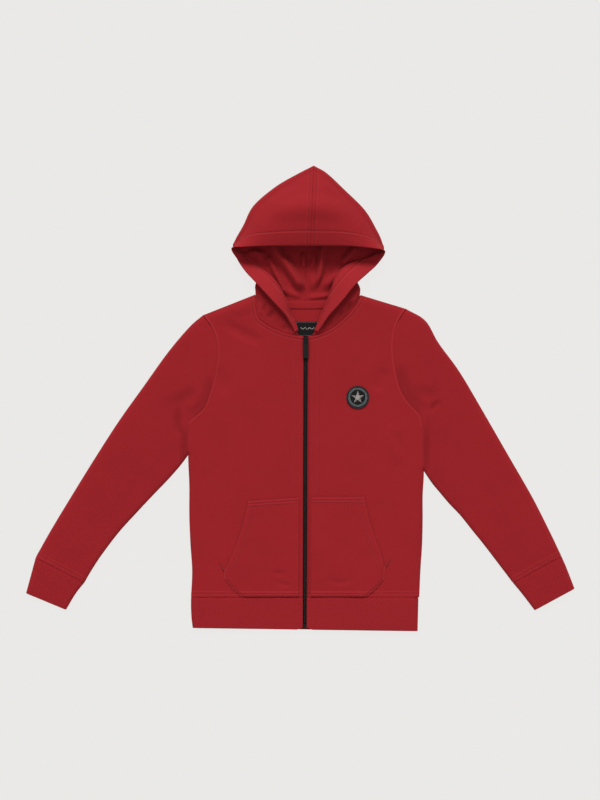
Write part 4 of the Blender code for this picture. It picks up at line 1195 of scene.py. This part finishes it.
def hood_section(row):
    """The middle line of one section of the hood, from its face edge to its seam."""
    spans, half = HOOD_SPANS, row.roll_half
    edge, roll, turn, seam = (np.array(row[first : first + 3], float) for first in (0, 3, 7, 10))
    reach = max(half, 0.5)

    def towards(target):
        way = (target - roll)[:2]
        return way / np.linalg.norm(way)

    before = np.append(roll[:2] + towards(edge) * reach, roll[2] + half)
    after = np.append(roll[:2] + towards(turn) * reach, roll[2] - half)
    points = []
    length = np.linalg.norm(before[:2] - edge[:2])
    swell = CROWN_SWELL * max(0, length - SWELL_FROM)
    for share in face_shares(length)[:-1]:
        point = edge + (before - edge) * share
        point[2] = before[2] + (edge[2] - before[2]) * (1 - share**2) + swell * math.sin(share * math.pi)
        points.append(point)
    for angle in np.linspace(90, -90, spans.roll + 1):
        around = math.radians(angle)
        flat = roll[:2] + towards(edge if angle > 0 else turn) * reach * (1 - math.cos(around))
        points.append(np.append(flat, roll[2] + half * math.sin(around)))
    for start, end, count in ((after, turn, spans.under), (turn, seam, spans.back)):
        for share in np.linspace(0, 1, count + 1)[1:]:
            point = start + (end - start) * share
            point[2] = start[2] + (end[2] - start[2]) * share * share * (3 - 2 * share)
            points.append(point)
    return np.array(points)


def hood_rows(side):
    """The hood's table, smoothed, with its seam drawn in from the neck and from the other half."""
    last = len(HOOD[side]) - 1
    rows = []
    for number, values in enumerate(curve(HOOD[side], 2, range(last + 1), hood_places() / last)):
        row = HoodRow(*values)
        if number <= CROWN_START:
            to_turn = np.array((row.turn_x - row.seam_x, row.turn_y - row.seam_y))
            inward = to_turn / np.linalg.norm(to_turn) * NECK_SEAM
            row = row._replace(seam_x=row.seam_x + inward[0], seam_y=row.seam_y + inward[1])
        if number >= CROWN_START:
            row = row._replace(seam_x=row.seam_x + OUTWARD[side] * SEAM)
        rows.append(row)
    return rows


def lengths_from_edge(grid):
    """How far each point of a hood's grid is from the face edge, and from the centre seam."""
    return reached(grid, 1), reached(grid[::-1], 0)[::-1]


def fading(count):
    """Whole for most rows, then gone by the last."""
    return smooth_step((count - np.arange(count + 1)) / (count * 0.3))


def shape_hood(grid):
    """Tilts the lapel up to its free edge."""
    spans = HOOD_SPANS
    row = hood_places()[:, None]
    collar = smooth_step(row / 2) * smooth_step((9.2 - row) / 2)
    face, roll, under, _ = np.split(grid, np.cumsum((spans.face + 1, spans.roll, spans.under)), axis=1)
    share = np.linalg.norm(face[..., :2] - face[:, :1, :2], axis=-1)
    share = share / share[:, -1:]
    face[..., 2] += collar * (LAPEL_LIFT * (1 - share) - LAPEL_DIP * share)
    roll[..., 2] -= collar * LAPEL_DIP
    under[..., 2] -= collar * LAPEL_DIP * np.linspace(1, 0, spans.under)[None]


def hood_wall(grid):
    """The thickness of a hood's cloth: its hem is doubled, and it is pulled thin along its stitches."""
    from_edge, from_centre = lengths_from_edge(grid)
    doubled = 0.9 * smooth_step((HOOD_HEM - from_edge) / 2.5)
    doubled += 0.8 * smooth_step((CENTRE_STITCH - from_centre) / 2)
    neck = ridge(from_edge[:, -1:] - from_edge, 0, 2.5, -0.4)
    neck[CROWN_START + 1 :] = 0
    seams = relief_of(from_edge, HOOD_HEM_FORMS) + relief_of(from_centre, CENTRE_FORMS) + neck
    from_corner = np.abs(hood_places() - CROWN_ROW + 1) / CORNER_REACH
    return (WALL + doubled + seams) * np.clip(from_corner, CORNER_SHARE, 1)[:, None], seams


def build_hood(side, finish):
    grid = np.array([hood_section(row) for row in hood_rows(side)])
    grid[-1, :-1, 0] += OUTWARD[side] * SEAM
    shape_hood(grid)
    back = grid[:, -HOOD_SPANS.back - 1 :]
    from_turn = reached(back, 1)
    from_neck = from_turn[:, -1:] - from_turn
    folds = crease_rise(back[..., :2], HOOD_CREASES) * smooth_step(from_turn / FOLD_START)
    folds[: CROWN_START + 1] *= smooth_step(from_neck / FOLD_END)[: CROWN_START + 1]
    collar = crease_rise(back[..., :2], COLLAR_CREASES[side])
    collar *= smooth_step(from_turn / COLLAR_FOLD_START) * smooth_step(from_neck / COLLAR_FOLD_END)
    collar[COLLAR_END:] = 0
    back[..., 2] += folds + collar
    face = grid[CROWN_START:, : HOOD_SPANS.face + 1]
    from_roll = np.linalg.norm(face[..., :2] - face[:, -1:, :2], axis=-1)
    face[..., 2] += crease_rise(face[..., :2], CROWN_CREASES) * smooth_step(from_roll / CROWN_FOLD_START)
    normals = grid_normals(grid)
    # The two halves meet face to face at the centre seam, and lie flat where it ends
    upright = 1 - np.abs(normals[:, -2, 2:])
    normals[:, -1] = normals[:, -2] * np.hstack([upright, upright, np.ones_like(upright)])
    normals[-1, :, 0] = 0
    normals /= np.maximum(np.linalg.norm(normals, axis=-1, keepdims=True), 1e-9)
    # The seams' rises paint a highlight on crests and shade in grooves; the collar's folds get painted shade
    # and the lapel a painted highlight
    wall, seams = hood_wall(grid)
    seams[:, -HOOD_SPANS.back - 1 :] += collar * COLLAR_PAINTED_LIGHT
    seams[: LAPEL_END + 1, : HOOD_SPANS.face + 1] += LAPEL_PAINTED_HIGHLIGHT * fading(LAPEL_END)[:, None]
    return shell(f"shell_hood_{side}", grid, wall, finish, normals, painted_shading=seams), grid, normals, wall


def line_at(lengths, wanted, *parts):
    """Where each row of a grid reaches a length, in each of these parts of the grid."""
    found = []
    for number, row in enumerate(lengths):
        if row.max() >= wanted:
            order = np.argsort(row)
            axes = [part[number][order].T for part in parts]
            found.append([np.array([np.interp(wanted, row[order], axis) for axis in part]) for part in axes])
    return [np.array(part) for part in zip(*found)]


def hood_stitches(grid, normals, wall):
    """The hem's row round the face and the rows beside the centre seam, on both faces of the cloth."""
    from_edge, from_centre = lengths_from_edge(grid)
    parts = grid, normals, np.repeat(wall[..., None], 3, axis=2)
    first = round(1.3 * HOOD_STEPS)
    hem = line_at(from_edge[first:], HOOD_HEM, *(part[first:] for part in parts))
    centre = line_at(from_centre.T, CENTRE_STITCH, *(part.transpose(1, 0, 2) for part in parts))
    return [
        (points + ways * way * (walls / 2 + 0.05), ways * way)
        for points, ways, walls in (hem, centre) for way in (1, -1)
    ]


def cover(piece, node, grid):
    """A shell takes the place of its CAD node."""
    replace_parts(piece, node)
    uv = grid_uv(grid)


# ---------------------------------------------------------------- seams and stitches


def parallel(line, gap, centre):
    """A plan line moved away from a place by a gap."""
    return moved_out(line, gap, np.array(line, float) - centre)


def laid(line, height_of):
    """A plan line on top of cloth, and the way up from it."""
    line = np.array(line, float)
    if len(line) == 2:
        line = along(line, round(math.dist(*line) / 4) + 1)
    return at_height(line, height_of(line) + WALL / 2), np.tile((0.0, 0.0, 1.0), (len(line), 1))


def front_stitches(side):
    way = OUTWARD[side]
    neck = parallel(curve(FRONT_NECK[side], 60), NECK_STITCH, NECK_MIDDLE)[2:-6]
    ys = np.linspace(HEM_SEAM_Y + 3, ZIP_TOP - 6, 120)
    lines = [neck] + [np.column_stack([zip_x(ys) + way * (ZIP_GAP / 2 + at), ys]) for at in PLACKET_STITCH]
    y = HEM_SEAM_Y + HEM_STITCH
    lines.append([(POCKET[side][0].outer_x + way * 8, y), (BODY_EDGE[side][0][0] - way * 3, y)])
    return [laid(line, lambda points: front_height(points, side)) for line in lines]


def pocket_stitches(side):
    way = OUTWARD[side]
    low, opening, top = pocket_edges(side)
    inside = (BADGE_X * way * 0.2, -240)
    lines = [parallel(along(opening, 40), -at, inside)[1:-2] for at in OPENING_STITCH]
    lines += [parallel(along(top, 40), -at, inside)[1:] for at in POCKET_TOP_STITCH]
    lines.append(parallel(fair(low, 40), -LOW_STITCH, inside)[2:-1])
    y = HEM_SEAM_Y + HEM_STITCH
    lines.append([(POCKET[side][0].outer_x, y), (float(zip_x(y)) + way * (POCKET_FROM_ZIP + 2), y)])
    return [laid(line, lambda points: pocket_height(points, side)) for line in lines]


def bar_tack(name, side, finish):
    """A dense bar of stitches across the low corner of a pocket's opening."""
    start, end = (np.array(point, float) for point in BAR_TACKS[side])
    run = (end - start) / np.linalg.norm(end - start)
    across = np.array((-run[1], run[0]))
    lines = []
    for share in np.linspace(0, 1, 17):
        middle = start + (end - start) * share
        height = BODY_TOP + 0.3 + 2.0 * smooth_step((share - 0.35) / 0.3)
        points = at_height([middle - across, middle, middle + across], (height - 0.2, height, height - 0.2))
        lines.append((points, np.tile((0.0, 0.0, 1.0), (3, 1))))
    return stitches(name, lines, finish, pitch=1.9, share=0.98, thick=0.36)


def loop_at(outer, from_end):
    """The loop round a flattened tube at a length from its end, and the ways out of it."""
    down = reached(outer, 0).mean(axis=1)
    row = int(np.argmin(np.abs(down[-1] - down - from_end)))
    ways = grid_normals(outer)[row]
    if ways[np.argmax(outer[row, :, 2])][2] < 0:
        ways = -ways
    line, ways = (np.concatenate([part, part[:1]]) for part in (outer[row], ways))
    return line + ways * 0.05, ways


def seam_cord(name, lines, radius, finish, sides=8):
    """Rolls of seam allowance that lie in the seams between the pieces."""
    vertices, faces = [], []
    for line in lines:
        line = np.array(line, float)
        runs = np.gradient(line, axis=0)
        runs /= np.linalg.norm(runs, axis=1, keepdims=True)
        across = np.cross(runs, (0, 0, 1.0))
        across /= np.maximum(np.linalg.norm(across, axis=1, keepdims=True), 1e-6)
        faces += rod_faces(len(vertices), len(line), sides)
        for point, side, up in zip(line, across, np.cross(across, runs)):
            vertices += ring_points(point, side, up, radius, sides)
    return mesh_piece(name, vertices, faces, finish)


def at_height(line, height):
    line = np.array(line, float)
    return np.column_stack([line, np.zeros(len(line)) + height])


# ---------------------------------------------------------------- zip


def bevelled_block(centre, size, bevel):
    """The twelve points of a block with a bevelled top, in three rings."""
    centre, half = np.array(centre), np.array(size) / 2
    return [
        centre + ((half[0] - inset) * x, (half[1] - inset) * y, height)
        for inset, height in ((0, -half[2]), (0, half[2] - bevel), (bevel, half[2]))
        for x, y in ((-1, -1), (1, -1), (1, 1), (-1, 1))
    ]


def build_teeth(finish):
    """Two rows of moulded teeth that mesh along the middle."""
    vertices, faces = [], []
    for offset, way in ((0, -1), (0.5, 1)):
        y = CHAIN_BOTTOM + TOOTH_START + offset * TOOTH_PITCH
        while y < CHAIN_TOP - 1:
            x = float(zip_x(y)) + way * (TOOTH_SIZE[0] / 2 - TOOTH_MESH)
            faces += rod_faces(len(vertices), 3, 4)
            vertices += bevelled_block((x, y, CHAIN_MID), TOOTH_SIZE, TOOTH_BEVEL)
            y += TOOTH_PITCH
    return mesh_piece("zip_teeth", vertices, faces, finish)


# ---------------------------------------------------------------- badge and label


def flat_stitch(start, end, height):
    """One stitch between two plan points, on cloth at a height."""
    points = np.array([start, end], float)
    return np.column_stack([points, [height, height]]), np.tile((0.0, 0.0, 1.0), (2, 1))


def on_badge(radius, turn):
    return BADGE_X + radius * math.cos(turn), BADGE_Y + radius * math.sin(turn)


def embroider_badge(edge, ring, motif):
    """The overlocked edge of the badge, its ring of short stitches and a plain star in satin stitch."""
    top = BODY_TOP + SEAM + BADGE_WALL
    inner, outer = BADGE_RING
    rims = [
        flat_stitch(on_badge(BADGE_RADIUS - 2.0, turn), on_badge(BADGE_RADIUS + 0.2, turn + 0.03), top)
        for turn in np.linspace(0, 2 * math.pi, BADGE_RIM_STITCHES, endpoint=False)
    ]
    dashes = [
        flat_stitch(on_badge(inner, turn), on_badge(outer, turn + 0.02), top)
        for turn in np.linspace(0, 2 * math.pi, BADGE_RING_STITCHES, endpoint=False)
    ]
    satin = []
    for turn in math.pi / 2 + np.arange(5) * 2 * math.pi / 5:
        run, side = np.array((math.cos(turn), math.sin(turn))), np.array((-math.sin(turn), math.cos(turn)))
        for share in np.linspace(0.05, 0.95, 11):
            middle = np.array((BADGE_X, BADGE_Y)) + run * STAR_RADIUS * share
            half = side * STAR_RADIUS * 0.30 * (1 - share) + side * 0.35
            satin.append(flat_stitch(middle - half, middle + half, top + 0.1))
    stitches("badge_rim", rims, edge, pitch=2.2, share=0.98, thick=0.55)
    stitches("badge_ring", dashes, ring, pitch=outer - inner, share=0.96, thick=0.6)
    stitches("badge_star", satin, motif, pitch=0.3, share=0.98, thick=0.36)


def trim_label(border, motif):
    """A row of thread round the neck label and a plain zigzag across it."""
    top = WALL + SEAM + LABEL_WALL
    dx, dy = LABEL_WIDTH / 2 - LABEL_BORDER, LABEL_HEIGHT / 2 - LABEL_BORDER
    round_it = (-1, -1), (1, -1), (1, 1), (-1, 1), (-1, -1)
    corners = [(LABEL_X + dx * x, LABEL_Y + dy * y) for x, y in round_it]
    turns = [(LABEL_X - 12 + 4 * number, LABEL_Y + 1 + 2.2 * (-1) ** number) for number in range(7)]
    edges, zigzag = (
        [flat_stitch(start, end, top) for start, end in zip(points[:-1], points[1:])]
        for points in (corners, turns)
    )
    stitches("label_border", edges, border, pitch=1.8, share=0.8, thick=0.3)
    stitches("label_zigzag", zigzag, motif, pitch=4.0, share=0.98, thick=0.4)


# ---------------------------------------------------------------- scene


def cords_of(side):
    """The seam allowances of one side that show between the pieces, as lines at their heights."""
    way = OUTWARD[side]
    height = CORD_HEIGHT
    armhole = SLEEVE_SEAM[side] + (way * 0.2, 0)
    shoulder = parallel(along(shoulder_line(side), 20), 1.0, (0, 300))
    end = SLEEVE[side][-1]
    cuff = along([end[:2], end[2:]], np.linspace(0.04, 0.96, 12))
    outline = HEM[0].left_x if side == "left" else HEM[0].right_x
    start = float(zip_x(HEM_SEAM_Y)) + way * (ZIP_GAP / 2 + 1.2)
    hem = along([(start, HEM_CORD_Y), (outline - way * 4, HEM_CORD_Y)], 12)
    return [
        at_height(armhole[1:-3], height["armhole"]),
        at_height(armhole, height["back"]),
        at_height(OPEN_SIDE[side] - (way * 1.2, 0), height["body"]),
        at_height(shoulder, height["body"]),
        at_height(parallel(curve(FRONT_NECK[side], 50), -0.2, NECK_MIDDLE), height["neck"]),
        at_height(cuff, height["rib"]),
        at_height(cuff, height["back"]),
        at_height(hem, height["rib"]),
    ]


def dress():
    cloth = cloth_material("brushed_knit", (0.335, 0.0135, 0.0185), (0.285, 0.0105, 0.0150))
    rib = cloth_material(
        "rib_knit_cloth", (0.32, 0.0125, 0.0175), (0.275, 0.0098, 0.0142), wale=0.0009, fuzz=0.3
    )
    thread = thread_material("red_thread", (0.36, 0.022, 0.026), (0.24, 0.013, 0.016))
    black_weave = woven_material("black_weave", (0.005, 0.005, 0.0055), (0.014, 0.014, 0.015))
    plastic = moulded_material("black_moulding", (0.003, 0.003, 0.003), (0.007, 0.007, 0.007), 0.38)
    black_thread = thread_material("black_thread", (0.016, 0.015, 0.017), (0.007, 0.006, 0.008))
    grey_thread = thread_material("grey_thread", (0.22, 0.26, 0.27), (0.10, 0.13, 0.13))
    pale_thread = thread_material("pale_thread", (0.66, 0.60, 0.56), (0.44, 0.39, 0.37))

    back, grid = build_back(cloth)
    cover(back, "back", grid)
    seams, turned_in = [], []
    for side, way in OUTWARD.items():
        front, grid = build_front(side, cloth)
        sewn = stitches(f"stitches_front_{side}", front_stitches(side), thread)
        cover(front, f"front_{side}", grid)
        sleeve, grid = build_sleeve(side, cloth)
        sewn = stitches(f"stitches_sleeve_{side}", [loop_at(grid, HEM_STITCH)], thread)
        cover(sleeve, f"sleeve_{side}", grid)
        cuff, grid = build_cuff(side, rib)
        cover(cuff, f"cuff_{side}", grid)
        hood, grid, normals, wall = build_hood(side, cloth)
        sewn = stitches(f"stitches_hood_{side}", hood_stitches(grid, normals, wall), thread)
        cover(hood, f"hood_{side}", grid)
        seams += cords_of(side)
        if side == "left":
            seams += [grid[-1] - (SEAM, 0, 0), grid[CROWN_START:, -1] - (SEAM, 0, 0)]
        turned_in.append(at_height(SLEEVE_SEAM[side][2:-2] + (way * 0.7, -0.3), CORD_HEIGHT["turned_in"]))
        pocket, grid = build_pocket(side, cloth)
        sewn = stitches(f"stitches_pocket_{side}", pocket_stitches(side), thread)
        tack = bar_tack(f"bar_tack_{side}", side, thread)
        cover(pocket, f"pocket_{side}", grid)
    hem = along([(HEM[0].right_x + 4, HEM_CORD_Y), (HEM[0].left_x - 4, HEM_CORD_Y)], 20)
    seams.append(at_height(hem, CORD_HEIGHT["back"]))
    seams.append(at_height(fair(BACK_NECK[1:-1], 40), CORD_HEIGHT["back_neck"]))
    seam_cord("seam_allowances", seams, CORD_RADIUS, cloth)
    seam_cord("armhole_allowances", turned_in, ARMHOLE_CORD_RADIUS, cloth)
    hem, grid = build_hem(rib)
    cover(hem, "hem_band", grid)
    tape, grid = build_neck_tape(cloth)
    cover(tape, "neck_tape", grid)
    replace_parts(build_teeth(plastic), "zip_chain")
    embroider_badge(black_thread, grey_thread, pale_thread)
    trim_label(grey_thread, pale_thread)
    for name in ("zip_tape_left", "zip_tape_right", "neck_label", "badge"):
        refinish(name, black_weave)
    for name in ("zip_box", "zip_slider", "zip_pull"):
        refinish(name, plastic)


def refinish(node, material):
    """A CAD node that stays gets a better material."""
    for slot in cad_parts[node].material_slots:
        slot.material = material


def stage_floor():
    mesh = bpy.data.meshes.new("floor")
    corners = [(FLOOR_SIZE * x, FLOOR_SIZE * y, 0) for x, y in ((-1, -1), (1, -1), (1, 1), (-1, 1))]
    mesh.from_pydata(corners, [], [(0, 1, 2, 3)])
    floor = bpy.data.objects.new("floor", mesh)
    floor.location.z = -FLOOR_GAP
    bpy.context.scene.collection.objects.link(floor)
    nodes = Nodes("floor_paper")
    nodes.surface(
        Base_Color=(0.02, 0.02, 0.02), Roughness=1.0, Specular_IOR_Level=0.0,
        Emission_Color=(0.823, 0.815, 0.799), Emission_Strength=0.975,
    )
    mesh.materials.append(nodes.material)


def sun_light(name, way, strength, spread):
    """A soft light from far off, that comes from a direction."""
    light = bpy.data.lights.new(name, "SUN")
    light.energy = strength
    light.angle = math.radians(spread)
    placed = bpy.data.objects.new(name, light)
    placed.rotation_euler = Vector(way).to_track_quat("Z", "Y").to_euler()
    bpy.context.scene.collection.objects.link(placed)


def light_and_camera():
    scene = bpy.context.scene
    scene.world = bpy.data.worlds.new("studio")
    scene.world.use_nodes = True
    sky = scene.world.node_tree.nodes["Background"]
    sky.inputs["Color"].default_value = (1, 1, 1, 1)
    sky.inputs["Strength"].default_value = 0.40
    sun_light("key", (-0.08, 1.0, 0.82), 2.7, 22)
    sun_light("fill", (0.3, -0.9, 1.4), 0.2, 50)
    camera = bpy.data.cameras.new("camera")
    camera.lens = 85
    camera.sensor_width = 36
    placed = bpy.data.objects.new("camera", camera)
    placed.location = CAMERA_PLACE
    scene.collection.objects.link(placed)
    scene.camera = placed
    scene.view_settings.view_transform = "Standard"


dress()
stage_floor()
light_and_camera()
